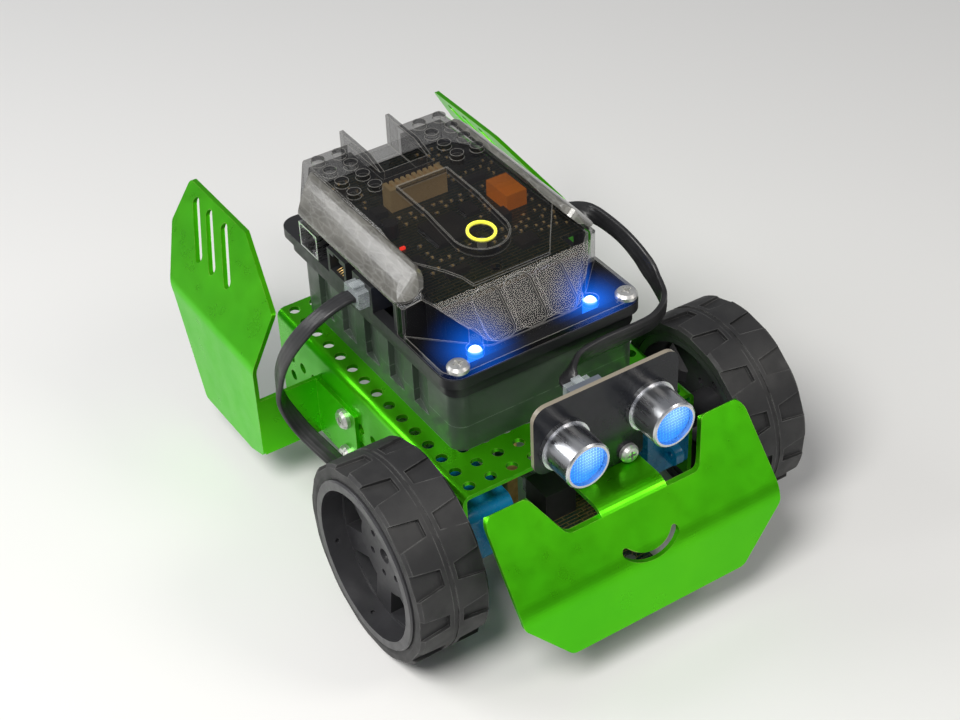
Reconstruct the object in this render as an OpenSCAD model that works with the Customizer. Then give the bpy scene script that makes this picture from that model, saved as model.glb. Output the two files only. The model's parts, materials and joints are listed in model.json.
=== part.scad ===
/* [Chassis] */
// Length of the chassis plate, front to back
chassis_len = 120; // [104:16:136]
// Outer width of the chassis channel
chassis_w = 90; // [90:1:92]
// Height of the channel's side walls
side_h = 36; // [32:1:38]
// Thickness of the bent metal sheet
sheet = 1.5; // [1.5:0.5:2]
// Pitch of the mounting holes
pitch = 8; // [8:1:8]
// Diameter of the mounting holes
hole_d = 4; // [3.5:0.1:4.2]

/* [Wheels] */
// Diameter over the tread
tyre_d = 68; // [66:1:68]
// Width of the tyre
tyre_w = 25; // [24:1:25]
// Distance between the two tyre centres
track = 125.6; // [125:0.1:128]
// Number of tread pockets round each shoulder
tread_count = 13; // [9:1:15]

/* [Bumper] */
// Width of the front bumper
bumper_w = 100; // [96:1:102]
// Width of the strip that carries the bumper and the distance sensor
strip_w = 25; // [22:1:26]

/* [Distance sensor] */
// Distance between the two transducer centres
can_gap = 32.4; // [30:0.1:34]
// Outer diameter of a transducer can
can_d = 16.2; // [15:0.1:16.5]
// Length of a transducer can
can_len = 13; // [11:1:14]

/* [Controller] */
// Width of the controller's flange
ctrl_w = 75; // [74:1:76]
// Length of the controller's flange
ctrl_len = 110; // [110:1:114]
// Wall of the clear cover
cover_wall = 2; // [1.6:0.1:2]
// Diameter of a building-block stud
stud_d = 4.8; // [4.7:0.05:4.9]

/* [Battery box] */
// Width of the battery box
box_w = 70; // [68:1:70]
// Length of the battery box
box_len = 98; // [96:1:98]
// Height of the battery box
box_h = 22; // [22:1:24]

/* [Hidden] */
$fn = 48;

// Chassis levels: the wheels stand on z = 0 and the channel's centre lies just ahead of the origin.
chassis_y = -2;
front_y = chassis_y - chassis_len / 2;
axle_z = tyre_d / 2;
plate_top = axle_z + 20;
plate_under = plate_top - sheet;
side_low = plate_top - side_h;
axle_y = front_y + 11;
side_out = chassis_w / 2;
side_in = side_out - sheet;
cols = 5;
rows = floor((chassis_len / pitch - 1) / 2);
side_rows = [16, 24, 32];
wing_screw_y = chassis_y + 1.5 * pitch;

// Gearbox: inner and outer faces, mid-plane and the gear axes.
gear_in = side_in - 17;
gear_out = side_in;
gear_mid = (gear_in + gear_out) / 2;
gear_h = 22.5;
gear_len = 37;
gear_back = axle_y - 11 + gear_len;
out_gear_r = 9;
small_r = 3;
crown_r = 8.5;
mesh_gap = 0.15;
mid_axis_y = axle_y + out_gear_r + small_r + mesh_gap;
shaft_r = 2.7;
pin_r = 1;
bolt_y = axle_y + 20.7;
bolt_dz = 8.75;

// Wheel: planes along the axle, measured from the robot's middle.
tyre_in = track / 2 - tyre_w / 2;
tyre_out = track / 2 + tyre_w / 2;
rim_r = 27.6;
lip_r = 28.9;
dish_r = 25.8;
face_out = tyre_out - 7.3;
face_in = face_out - 6;
hub_end = side_out + 1;
shaft_end = 60;
spoke_turn = 8;
tread_turn = 24;
tread_deep = 1.4;

// Bumper profile in the Y-Z plane, on the outer face of the sheet.
bump_top = [-80, plate_top + 7.8];
bump_knee = [-101.3, plate_top - 17.3];
bump_low = [-104.5, plate_top - 38.7];
strip_top = plate_under;
notch_z = plate_top - 4;
bump_slope = atan2(bump_top[1] - bump_knee[1], bump_top[0] - bump_knee[0]);
strip_bend = (strip_top - notch_z) / (1 - cos(bump_slope));
strip_back = front_y + 8;

// Distance sensor.
board_y = -75.3;
board_t = 1.6;
can_z = plate_top + 17.5;
sensor_low = plate_top + 8.8;
sensor_high = plate_top + 34.9;
sensor_half = 27.2;
tongue_half = 14;
sensor_screw_z = plate_top + 2;

// Line sensor board under the front of the chassis.
line_top = plate_top - 41;
line_front = -86;
line_mid = -72;
line_back = -36;
standoff_x = 2 * pitch;
standoff_y = chassis_y - 5 * pitch;

// Wing: outer plane, lean and the web that joins it to the chassis.
wing_x = 69.5;
wing_lean = 30;
bend_z = plate_top + 2;
bend_r = 8;
web_y = 29.4;
web_top = plate_top - 11.5;
web_low = plate_top - 35;
flange_front = web_y - 26;

// Battery box and controller levels.
box_y = 5.4;
fin_pitch = 15.2;
fin_t = 1.5;
fin_deep = 2.4;
box_side = 3.6;
box_split = plate_top + 9.5;
box_top = plate_top + box_h;
ctrl_y = 10;
ctrl_front = ctrl_y - ctrl_len / 2;
ctrl_back = ctrl_y + ctrl_len / 2;
flange_low = box_top + 4.5;
flange_top = flange_low + 3.5;
pcb_z = flange_top + 10;
pcb_t = 1.6;
pcb_top = pcb_z + pcb_t;
roof = plate_top + 53;
side_slot_y = -14;
roof_back = ctrl_back - 4;
ring_y = -7.2;
ring_z = roof - 2.4;
roof_slope = 8;
plunger_top = ring_z - 2.9;
tongue_w = 20;
tongue_back = 29;
tongue_tip = -6;
slot_half = 8.4;
slot_y = 39;
slot_back = ctrl_back + 1;
slot_rise = 2.7;
socket_ys = [6.5, 23];
usb_y = 42;
switch_y = 42;
ctrl_screw = [4 * pitch, -41.8];
lamp_at = [22, -35.9];
lamp_z = flange_top;
hood_step = 0.8;
roof_start = ring_y + 2.4 / tan(roof_slope);
bar_at = [32.2, 0, pcb_top + 5.6];
bar_lean = 42.4;
bar_half = 7;
bar_high = 2.4;
nose_len = 11;
nose_y = -9;

// Flat leads: section and routes.
lead_w = 6;
lead_t = 2.3;
plug_l = 4;
plug_w = 9;
plug_t = 6;
socket_mid_z = pcb_z - 5;
sensor_socket_l = 11.4;
sensor_mouth_y = board_y + board_t + sensor_socket_l;
sensor_plug_z = plate_top + 20.6;
line_mouth = [0, line_back - 2, line_top + 6];
// Each row holds a point on the lead's centre line, with z from the plate's top, and the direction of its width.
sensor_route = [
  [[41.5, 6.5, 35], [0, 1, 0]], [[44, 6.5, 35], [0, 1, 0]], [[47.5, 2.5, 35], [0.5, 0.7, 0.4]],
  [[49.5, -5, 34.5], [0.3, 0, 1]], [[50.5, -15.5, 33], [0.2, 0.1, 1]], [[51.5, -24, 29], [0.2, 0.4, 1]],
  [[52, -30.5, 24], [0.2, 0.4, 1]], [[50.5, -37.5, 21], [0.2, 0.2, 1]], [[46.5, -42.2, 21], [0, 0, 1]],
  [[40, -45.6, 21], [0, 0, 1]], [[33, -47, 21.6], [0, 0, 1]], [[25.5, -47.5, 22.2], [0, 0, 1]],
  [[17.5, -47.6, 22.2], [0, 0, 1]], [[9.2, -48.3, 22], [0, -0.2, 1]], [[3.5, -51.2, 21.4], [0.5, -0.3, 0.8]],
  [[0, -55, 20.6], [1, 0, 0]], [[0, -58.3, 20.6], [1, 0, 0]]
];
line_route = [
  [[-41.5, 6.5, 35], [0, 1, 0]], [[-45, 6.5, 35], [0, 1, 0]], [[-53, 7, 32], [0, 1, 0]],
  [[-60, 10.5, 24], [0, 1, 0.2]], [[-63.5, 16, 13], [0.1, 1, 0.3]], [[-64, 21, 1], [0.3, 1, 0.3]],
  [[-63, 22.5, -9], [0.8, 0.7, 0.1]], [[-59.5, 17, -19], [1, 0.2, 0.3]], [[-54, 6, -28], [0.9, 0.3, 0.3]],
  [[-46, -6, -39.5], [0.8, 0.4, 0.2]], [[-35, -14, -43], [0.4, 0.9, 0]], [[-20, -19, -42.5], [0.3, 1, 0]],
  [[-8, -22, -39], [0.4, 0.9, 0]], [[-1, -26, -35.6], [0.8, 0.5, 0]], [[0, -30.5, -35], [1, 0, 0]],
  [[0, -34, -35], [1, 0, 0]]
];

// Caster ball under the rear.
caster_y = chassis_y + 5 * pitch;
ball_r = 8;
ball_gap = 0.1;
cup_r = 11;
cup_low = 4.5;

// ---- Shared shapes ----

// Rectangle with true round corners, centred.
module rrect(w, l, r) {
  square([w - 2 * r, l], center = true);
  square([w, l - 2 * r], center = true);
  for (sx = [-1, 1], sy = [-1, 1])
    translate([sx * (w / 2 - r), sy * (l / 2 - r)]) circle(r);
}

// Extrudes a shape drawn in X-Z over a stretch of Y.
module along_y(y0, y1) {
  translate([0, y1, 0]) rotate([90, 0, 0]) linear_extrude(y1 - y0) children();
}

// Extrudes a shape drawn in Y-Z over a stretch of X.
module along_x(x0, x1) {
  translate([x0, 0, 0]) rotate([90, 0, 90]) linear_extrude(x1 - x0) children();
}

// Cylinder along X at a given Y and Z.
module rod_x(x0, x1, y, z, r) {
  translate([x0, y, z]) rotate([0, 90, 0]) cylinder(h = x1 - x0, r = r);
}

// Cylinder along Y at a given X and Z.
module rod_y(y0, y1, x, z, r) {
  translate([x, y0, z]) rotate([-90, 0, 0]) cylinder(h = y1 - y0, r = r);
}

// Places its children at one side: -1 mirrors the right-hand shape to the left.
module at_side(side) {
  if (side > 0) children();
  else mirror([1, 0, 0]) children();
}

// Outline with its corners rounded outwards and inwards.
module soften(r) {
  offset(r = r) offset(r = -2 * r) offset(r = r) children();
}

// Pan head screw pointing down from z = 0, with a cross recess in the head.
module pan_screw(len, r, head_r, head_h) {
  difference() {
    union() {
      translate([0, 0, -len]) cylinder(h = len + 0.5, r = r);
      rotate_extrude() polygon([[0, 0], [head_r, 0], [head_r, head_h * 0.5],
        [head_r * 0.8, head_h * 0.9], [head_r * 0.45, head_h], [0, head_h]]);
    }
    for (a = [0, 90])
      rotate([0, 0, a]) translate([-head_r * 0.5, -0.4, head_h - 1]) cube([head_r, 0.8, 2]);
  }
}

// Hexagonal nut standing on z = 0.
module hex_nut(across, h, r) {
  difference() {
    cylinder(h = h, r = across / sqrt(3), $fn = 6);
    translate([0, 0, -1]) cylinder(h = h + 2, r = r);
  }
}

// Spur gear seen as a disc with shallow grooves, so it clears its partner at every angle.
module grooved_disc(r, h, teeth) {
  difference() {
    cylinder(h = h, r = r);
    for (i = [0 : teeth - 1])
      rotate([0, 0, i * 360 / teeth]) translate([r - 0.5, -0.3, -1]) cube([2, 0.6, h + 2]);
  }
}

// ---- Flat lead ----

function unit(v) = v / norm(v);

// Point of a smooth curve through the route, at stretch i and fraction t.
function route_at(p, i, t) =
  let (n = len(p), a = p[max(i - 1, 0)], b = p[i], c = p[min(i + 1, n - 1)], d = p[min(i + 2, n - 1)])
  0.5 * ((2 * b) + (c - a) * t + (2 * a - 5 * b + 4 * c - d) * t * t
    + (3 * b - a - 3 * c + d) * t * t * t);

function lead_ring(centre, along, wide) =
  let (w = unit(wide - (wide * along) * along), s = cross(along, w), a = lead_w / 2, b = lead_t / 2, c = 0.8)
  [for (q = [[a, b - c], [a - c, b], [c - a, b], [-a, b - c], [-a, c - b], [c - a, -b], [a - c, -b], [a, c - b]])
    centre + q[0] * w + q[1] * s];

// Flat lead swept along a route with steps rings for each stretch.
module flat_lead(route, steps) {
  pts = [for (row = route) row[0]];
  hints = [for (row = route) row[1]];
  count = (len(route) - 1) * steps;
  line = [for (k = [0 : count]) let (i = min(floor(k / steps), len(route) - 2)) route_at(pts, i, k / steps - i)];
  turn = [for (k = [0 : count]) let (i = min(floor(k / steps), len(route) - 2)) route_at(hints, i, k / steps - i)];
  last = len(route) - 1;
  aim = [for (k = [0 : count])
    k == 0 ? pts[1] - pts[0] : k == count ? pts[last] - pts[last - 1] : line[k + 1] - line[k - 1]];
  rings = [for (k = [0 : count]) lead_ring(line[k], unit(aim[k]), turn[k])];
  faces = concat(
    [[for (j = [0 : 7]) j]],
    [for (k = [0 : count - 1], j = [0 : 7])
      [k * 8 + j, (k + 1) * 8 + j, (k + 1) * 8 + (j + 1) % 8, k * 8 + (j + 1) % 8]],
    [[for (j = [7 : -1 : 0]) count * 8 + j]]);
  polyhedron([for (ring = rings, q = ring) q], faces);
}

// Clear modular plug lying along +X from x = 0, its lead leaving at x = plug_l.
module plug_body() {
  difference() {
    translate([-6, -plug_w / 2, -plug_t / 2]) cube([plug_l + 6, plug_w, plug_t]);
    for (y = [-3 : 1.2 : 3])
      translate([-7, y - 0.25, -plug_t / 2 - 1]) cube([4, 0.5, 2.5]);
  }
  translate([-5, -1.6, plug_t / 2 + 0.6]) cube([9, 3.2, 0.6]);
  translate([-5, -1.6, plug_t / 2 - 0.1]) cube([1.2, 3.2, 1]);
}

// Modular socket from x = -len to x = 0, open at x = 0.
module socket_body(len, w, h) {
  difference() {
    translate([-len, -w / 2, -h / 2]) cube([len, w, h]);
    translate([-6.1, -plug_w / 2 - 0.1, -plug_t / 2 - 0.1]) cube([8, plug_w + 0.2, plug_t + 0.2]);
    translate([-6.1, -2, plug_t / 2 - 0.2]) cube([8, 4, 1.6]);
  }
}

// ---- Chassis ----

module channel_outline(w, r, h) {
  translate([-w / 2, plate_top - h]) square([w, h - r]);
  translate([-w / 2 + r, plate_top - h]) square([w - 2 * r, h]);
  for (s = [-1, 1]) translate([s * (w / 2 - r), plate_top - r]) circle(r);
}

module motor_openings() {
  for (s = [-1, 1]) {
    rod_x(min(s * (side_in - 2), s * (side_out + 2)), max(s * (side_in - 2), s * (side_out + 2)),
      axle_y, axle_z, 3.5);
    for (dz = [-bolt_dz, bolt_dz])
      rod_x(min(s * (side_in - 2), s * (side_out + 2)), max(s * (side_in - 2), s * (side_out + 2)),
        bolt_y, axle_z + dz, 1.6);
  }
}

module chassis_plate() {
  color("limegreen") difference() {
    along_y(front_y, front_y + chassis_len) difference() {
      channel_outline(chassis_w, 3, side_h);
      translate([0, -sheet]) channel_outline(chassis_w - 2 * sheet, 1, side_h + 2);
    }
    for (i = [-cols : cols], j = [-rows : rows])
      translate([i * pitch, chassis_y + j * pitch, plate_under - 1]) cylinder(h = sheet + 2, r = hole_d / 2);
    for (s = [-1, 1], j = [-2 : rows - 1], drop = side_rows)
      rod_x(min(s * (side_in - 1), s * (side_out + 1)), max(s * (side_in - 1), s * (side_out + 1)),
        chassis_y + (j + 0.5) * pitch, plate_top - drop, hole_d / 2);
    motor_openings();
  }
}

// Band between the outer face and the same line moved in by the sheet, with a round knee.
module bumper_band() {
  d1 = unit(bump_knee - bump_top);
  d2 = unit(bump_low - bump_knee);
  half = acos(d1 * d2) / 2;
  r_out = 14;
  tan_len = r_out * tan(half);
  p1 = bump_knee - d1 * tan_len;
  p2 = bump_knee + d2 * tan_len;
  n1 = [-d1[1], d1[0]];
  centre = p1 + n1 * r_out;
  a1 = atan2(p1[1] - centre[1], p1[0] - centre[0]);
  a2 = atan2(p2[1] - centre[1], p2[0] - centre[0]);
  n2 = [-d2[1], d2[0]];
  turn = a2 - a1;
  steps = 8;
  outer = [for (i = [0 : steps]) centre + r_out * [cos(a1 + turn * i / steps), sin(a1 + turn * i / steps)]];
  inner = [for (i = [steps : -1 : 0])
    centre + (r_out - sheet) * [cos(a1 + turn * i / steps), sin(a1 + turn * i / steps)]];
  polygon(concat([bump_top], outer, [bump_low, bump_low + n2 * sheet], inner, [bump_top + n1 * sheet]));
}

// Strip under the plate, bent down in front onto the bumper's face.
module strip_section() {
  slope = bump_slope;
  edge_y = bump_top[0] - (bump_top[1] - notch_z) / tan(slope);
  r = strip_bend;
  start_y = edge_y + r * sin(slope);
  steps = 6;
  centre = [start_y, strip_top - r];
  outer = [for (i = [0 : steps]) centre + r * [-sin(slope * i / steps), cos(slope * i / steps)]];
  inner = [for (i = [steps : -1 : 0])
    centre + (r - sheet) * [-sin(slope * i / steps), cos(slope * i / steps)]];
  down = [-cos(slope), -sin(slope)];
  polygon(concat([[strip_back, strip_top]], outer, [outer[steps] + down, inner[0] + down], inner,
    [[strip_back, strip_top - sheet]]));
}

module bumper_outline() {
  half = bumper_w / 2;
  top = bump_top[1];
  low = bump_low[1];
  soften(4) polygon([
    [-half + 0.7, top], [-33.5, top], [-25.2, notch_z], [25.2, notch_z], [33.5, top], [half - 0.7, top],
    [half, bump_knee[1] + 2], [half - 0.5, bump_knee[1] - 4], [33.5, low], [-33.5, low],
    [-half + 0.5, bump_knee[1] - 4], [-half, bump_knee[1] + 2]]);
}

module mouth() {
  r = 14;
  centre_z = bump_knee[1] + 13.5;
  span = 42;
  translate([0, centre_z]) difference() {
    circle(r + 1.4);
    circle(r - 1.4);
    for (s = [-1, 1]) rotate(s > 0 ? span - 90 : 90 - span) translate([-20, 0]) square([40, 40]);
    translate([-20, 0]) square([40, 40]);
  }
  for (s = [-1, 1]) translate([s * r * sin(span), centre_z - r * cos(span)]) circle(1.4);
}

module front_bumper() {
  color("limegreen") difference() {
    union() {
      intersection() {
        along_x(-bumper_w / 2 - 1, bumper_w / 2 + 1) bumper_band();
        along_y(-110, -70) bumper_outline();
      }
      along_x(-strip_w / 2, strip_w / 2) strip_section();
    }
    along_y(-112, -90) mouth();
    for (s = [-1, 1]) {
      translate([s * pitch, chassis_y - 7 * pitch, strip_top - 4]) cylinder(h = 8, r = hole_d / 2);
      translate([s * 6, board_y + 9, strip_top - 4]) cylinder(h = 8, r = 1.6);
    }
  }
}

module sensor_bracket() {
  y0 = board_y + board_t;
  color("limegreen") difference() {
    union() {
      translate([-strip_w / 2, y0, strip_top]) cube([strip_w, sheet, 11]);
      translate([-strip_w / 2, y0, strip_top]) cube([strip_w, 11, sheet]);
    }
    for (s = [-1, 1]) {
      rod_y(y0 - 1, y0 + sheet + 1, s * pitch, sensor_screw_z, hole_d / 2);
      translate([s * 6, board_y + 9, strip_top - 1]) cylinder(h = 4, r = 1.6);
    }
  }
}

// ---- Wings ----

// Bent sheet seen along Y: vertical below the bend, leaning inwards above it.
module wing_band() {
  lean = [-sin(wing_lean), cos(wing_lean)];
  high = 40;
  centre = [wing_x - bend_r, bend_z - bend_r * tan(wing_lean / 2)];
  steps = 6;
  outer = [for (i = [0 : steps])
    centre + bend_r * [cos(wing_lean * i / steps), sin(wing_lean * i / steps)]];
  inner = [for (i = [steps : -1 : 0])
    centre + (bend_r - sheet) * [cos(wing_lean * i / steps), sin(wing_lean * i / steps)]];
  polygon(concat([[wing_x, 5]], outer, [outer[steps] + high * lean, inner[0] + high * lean], inner,
    [[wing_x - sheet, 5]]));
}

module wing_outline() {
  soften(2) polygon([
    [web_y, web_low], [38.8, plate_top - 38], [73.8, plate_top - 38.4], [89.5, plate_top - 1],
    [104.5, plate_top + 18.4], [102.8, plate_top + 33.3], [61.5, plate_top + 33.3],
    [30.9, plate_top + 20], [web_y, plate_top + 3]]);
}

// Round-ended vertical slot in the wing's side view.
module wing_slot(top, low) {
  hull() {
    translate(top) circle(1.9);
    translate(low) circle(1.9);
  }
}

module wing(side) {
  color("limegreen") at_side(side) difference() {
    union() {
      intersection() {
        along_y(web_y - 2, 110) wing_band();
        along_x(30, 75) wing_outline();
      }
      translate([side_out, web_y, web_low]) cube([wing_x - side_out - 1, sheet, web_top - web_low]);
      translate([side_out, flange_front, web_low]) cube([sheet, web_y - flange_front + sheet, web_top - web_low]);
    }
    along_x(40, 75) {
      wing_slot([94.4, plate_top + 28.6], [81.1, plate_top + 16]);
      wing_slot([84.5, plate_top + 28.7], [71.4, plate_top + 16.4]);
      wing_slot([73.4, plate_top + 29], [60.4, plate_top + 16.8]);
    }
    for (drop = [16, 32])
      rod_x(side_out - 1, side_out + sheet + 1, wing_screw_y, plate_top - drop, hole_d / 2);
  }
}

// ---- Fasteners ----

module frame_screws() {
  color("silver") {
    for (s = [-1, 1], drop = [16, 32])
      translate([s * (side_out + sheet), wing_screw_y, plate_top - drop]) rotate([0, s * 90, 0])
        pan_screw(6.5, 1.95, 3.7, 2.5);
    for (s = [-1, 1]) {
      translate([s * pitch, chassis_y - 7 * pitch, plate_top]) pan_screw(8.5, 1.95, 3.7, 2.5);
      translate([s * 2 * pitch, caster_y, plate_top]) pan_screw(6.5, 1.95, 3.7, 2.5);
      translate([s * standoff_x, standoff_y, plate_top - 7]) cylinder(h = 7, r = 1.95);
    }
  }
}

module motor_bolts() {
  color("silver")
    for (s = [-1, 1], dz = [-bolt_dz, bolt_dz])
      at_side(s) {
        translate([side_out, bolt_y, axle_z + dz]) rotate([0, 90, 0]) pan_screw(22, 1.5, 2.7, 2);
        translate([gear_in - 2.4, bolt_y, axle_z + dz]) rotate([0, 90, 0]) hex_nut(5.5, 2.4, 1.5);
      }
}

module spacers() {
  color("goldenrod")
    for (s = [-1, 1]) {
      translate([s * pitch, chassis_y - 7 * pitch, strip_top - sheet - 3.2]) hex_nut(7, 3.2, 1.95);
      translate([s * standoff_x, standoff_y, line_top]) hex_nut(7, plate_under - line_top, 1.95);
    }
}

// ---- Distance sensor ----

module sensor_board() {
  mid = (sensor_low + sensor_high) / 2;
  tongue_low = strip_top + 0.4;
  color("#181a20") along_y(board_y, board_y + board_t) difference() {
    union() {
      translate([0, mid]) rrect(2 * sensor_half, sensor_high - sensor_low, 5);
      translate([0, (tongue_low + mid) / 2]) rrect(2 * tongue_half, mid - tongue_low, 2);
    }
    for (s = [-1, 1]) translate([s * pitch, sensor_screw_z]) circle(hole_d / 2);
  }
}

module sensor_screws() {
  color("silver")
    for (s = [-1, 1]) {
      translate([s * pitch, board_y, sensor_screw_z]) rotate([90, 0, 0]) pan_screw(6.5, 1.95, 3.3, 2.5);
      translate([s * 6, board_y + 9, strip_top + sheet]) pan_screw(7, 1.5, 2.7, 1.8);
      translate([s * 6, board_y + 9, strip_top - sheet - 2.4]) hex_nut(5.5, 2.4, 1.5);
    }
}

module transducer_cans() {
  r = can_d / 2;
  color("silver")
    for (s = [-1, 1])
      translate([s * can_gap / 2, board_y, can_z]) rotate([90, 0, 0]) rotate_extrude($fn = 72)
        polygon([[0, 0], [r + 0.8, 0], [r + 0.8, 1.4], [r, 1.4], [r, can_len - 0.5], [r - 0.5, can_len],
          [r - 1.2, can_len], [r - 1.2, can_len - 1.2], [r - 0.7, can_len - 1.8], [r - 0.7, 2.4], [0, 2.4]]);
}

module transducer_meshes() {
  color("deepskyblue")
    for (s = [-1, 1])
      rod_y(board_y - can_len + 1.8, board_y - can_len + 2.5, s * can_gap / 2, can_z, can_d / 2 - 0.7);
}

module sensor_socket() {
  color("slategray") translate([0, sensor_mouth_y, sensor_plug_z]) rotate([0, 0, 90])
    socket_body(sensor_socket_l, 12, 10);
}

module sensor_plugs() {
  color("lightcyan") {
    translate([0, sensor_mouth_y, sensor_plug_z]) rotate([0, 0, 90]) plug_body();
    translate([ctrl_w / 2, socket_ys[0], socket_mid_z]) plug_body();
  }
}

module sensor_cable() {
  color("dimgray") translate([0, 0, plate_top]) flat_lead(sensor_route, 3);
}

// ---- Line sensor ----

module line_board() {
  mid_y = (line_mid + line_back) / 2;
  color("darkgreen") translate([0, 0, line_top - 1.6]) linear_extrude(1.6) difference() {
    union() {
      translate([0, mid_y]) rrect(54, line_back - line_mid, 4);
      translate([0, (line_front + mid_y) / 2]) rrect(28, mid_y - line_front, 3);
    }
    for (s = [-1, 1]) {
      translate([s * pitch, line_front + pitch]) circle(hole_d / 2);
      translate([s * standoff_x, standoff_y]) circle(hole_d / 2);
    }
  }
}

module line_sensors() {
  color("midnightblue")
    for (x = [-18, -6, 6, 18])
      difference() {
        translate([x - 3, line_mid + 2, line_top - 6.6]) cube([6, 6, 5]);
        for (dx = [-1.5, 1.5])
          translate([x + dx, line_mid + 5, line_top - 7]) cylinder(h = 2.4, r = 1);
      }
  color("midnightblue") {
    for (at = [[-19, -63], [-15, -67], [-12.5, -59], [13, -66], [17, -61]])
      translate([at[0], at[1], line_top]) cube([2.4, 1.6, 1]);
    translate([-22, -56, line_top]) cube([6, 5, 1.4]);
  }
  color("silver")
    for (s = [-1, 1])
      translate([s * standoff_x, standoff_y, line_top - 1.6]) rotate([180, 0, 0])
        pan_screw(6, 1.95, 3.7, 2.5);
}

module line_socket() {
  color("#26282c") translate(line_mouth) rotate([0, 0, 90]) socket_body(12, 12, 12);
}

module line_plugs() {
  color("lightcyan") {
    translate(line_mouth) rotate([0, 0, 90]) plug_body();
    translate([-ctrl_w / 2, socket_ys[0], socket_mid_z]) rotate([0, 0, 180]) plug_body();
  }
}

module line_cable() {
  color("gray") translate([0, 0, plate_top]) flat_lead(line_route, 3);
}

// ---- Battery box ----

// Saw-tooth recesses between the upright fins on both sides, deepest at the fin behind.
module fin_bays(low, high) {
  face = box_w / 2;
  for (m = [0, 1], i = [-3 : 1])
    mirror([m, 0, 0]) translate([0, (i + 0.5) * fin_pitch, low]) linear_extrude(high - low)
      polygon([[face + 1, 1.5], [face + 1, fin_pitch - fin_t / 2], [face - fin_deep, fin_pitch - fin_t / 2]]);
}

module battery_tray() {
  h = box_split - plate_top;
  color("#9fb0a8", 0.5) translate([0, box_y, plate_top]) difference() {
    linear_extrude(h) rrect(box_w, box_len, 5);
    translate([0, 0, 1.5]) linear_extrude(20) rrect(box_w - 2 * box_side, box_len - 4, 3);
    fin_bays(5, h + 1);
    for (s = [-1, 1]) translate([s * 2 * pitch, caster_y - box_y, -1]) cylinder(h = 4, r = 4.2);
  }
}

module battery_cover() {
  h = box_top - box_split;
  color("#aab4b0", 0.5) translate([0, box_y, box_split]) difference() {
    linear_extrude(h) rrect(box_w, box_len, 5);
    translate([0, 0, -1]) linear_extrude(h - 0.5) rrect(box_w - 2 * box_side, box_len - 4, 3);
    fin_bays(-1, h - 1.5);
  }
}

module battery_cells() {
  z = plate_top + 1.5 + 7.1;
  color("seagreen")
    for (x = [-24, -8, 8, 24]) {
      rod_y(box_y - 24.5, box_y + 24.5, x, z, 7.1);
      rod_y(box_y + 24.5, box_y + 26, x, z, 2.6);
    }
}

module battery_contacts() {
  color("silver")
    for (x = [-24, -8, 8, 24]) {
      translate([x - 5, box_y + 26, plate_top + 1.5]) cube([10, 0.8, 12]);
      translate([x - 5, box_y - 28.5, plate_top + 1.5]) cube([10, 0.8, 12]);
      translate([x, box_y - 27.7, plate_top + 8.6]) rotate([-90, 0, 0])
        cylinder(h = 3.2, r1 = 4.2, r2 = 2);
    }
}

// ---- Controller ----

module controller_base() {
  color("#1d1f22") difference() {
    union() {
      translate([0, ctrl_y - 1, box_top]) linear_extrude(flange_low - box_top) rrect(ctrl_w - 3, ctrl_len - 4, 6);
      translate([0, ctrl_y, flange_low]) linear_extrude(flange_top - flange_low) rrect(ctrl_w, ctrl_len, 6);
      translate([-26, roof_back - 2, flange_top]) cube([52, 2, pcb_z - flange_top]);
      for (s = [-1, 1]) translate([s * (ctrl_w / 2 - 3.5) - 2, -13.6, flange_top]) cube([4, 3, pcb_z - flange_top]);
    }
    translate([0, ctrl_y, box_top + 2]) linear_extrude(20) rrect(ctrl_w - 8, ctrl_len - 12, 4);
    for (s = [-1, 1]) translate([s * ctrl_screw[0], ctrl_screw[1], box_top + 1]) cylinder(h = 20, r = 1.5);
  }
  color("#1d1f22")
    for (s = [-1, 1], p = [[23, -14.5], [29, 52]])
      translate([s * p[0], p[1], box_top + 2]) cylinder(h = pcb_z - box_top - 2, r = 3);
}

module controller_board() {
  color("darkolivegreen") difference() {
    translate([0, 0, pcb_z]) linear_extrude(pcb_t) {
      polygon([[-36, -13.6], [36, -13.6], [36, 46.5], [26.8, 60.5], [-26.8, 60.5], [-36, 46.5]]);
      translate([-26, -23.5]) square([52, 12]);
    }
    translate([0, ring_y - 8, pcb_z - 1]) cylinder(h = 5, r = 2);
  }
}

module board_parts() {
  color("#26262a") {
    translate([-9, 4, pcb_top]) cube([14, 14, 1.6]);
    translate([8, 14, pcb_top]) cube([5, 6, 1.4]);
    translate([-26, 26, pcb_top]) cube([8, 10, 1.6]);
    translate([-24, -2, pcb_top]) cube([6, 5, 2]);
    translate([12, -12, pcb_top]) cube([7, 5, 1.8]);
    difference() {
      translate([-3, ring_y - 3, pcb_top]) cube([6, 6, 3.6]);
      translate([0, ring_y, pcb_top + 1]) cylinder(h = 4, r = 1.65);
    }
  }
  color("darkkhaki") {
    translate([-18, 20, pcb_top]) cylinder(h = 5, r = 2.5);
    translate([-25, 16, pcb_top]) cylinder(h = 5, r = 2.5);
    translate([-22, 44, pcb_top]) cylinder(h = 5.5, r = 3);
    translate([-18, 30, pcb_top]) cube([5, 4, 2.4]);
    translate([14, 4, pcb_top]) cube([5, 5, 3]);
    translate([-16, -12, pcb_top]) cube([8, 2.4, 2.2]);
    translate([16, 30, pcb_top]) cube([10, 2.4, 2.2]);
    translate([22, 42, pcb_top]) cylinder(h = 5, r = 2.5);
    translate([26.2, 43, pcb_top]) cube([4, 8, 2]);
  }
}

module side_sockets() {
  color("#2b2d31")
    for (s = [-1, 1], y = socket_ys)
      translate([s * ctrl_w / 2, y, socket_mid_z]) rotate([0, 0, s > 0 ? 0 : 180])
        socket_body(13, 12, 10);
}

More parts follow.
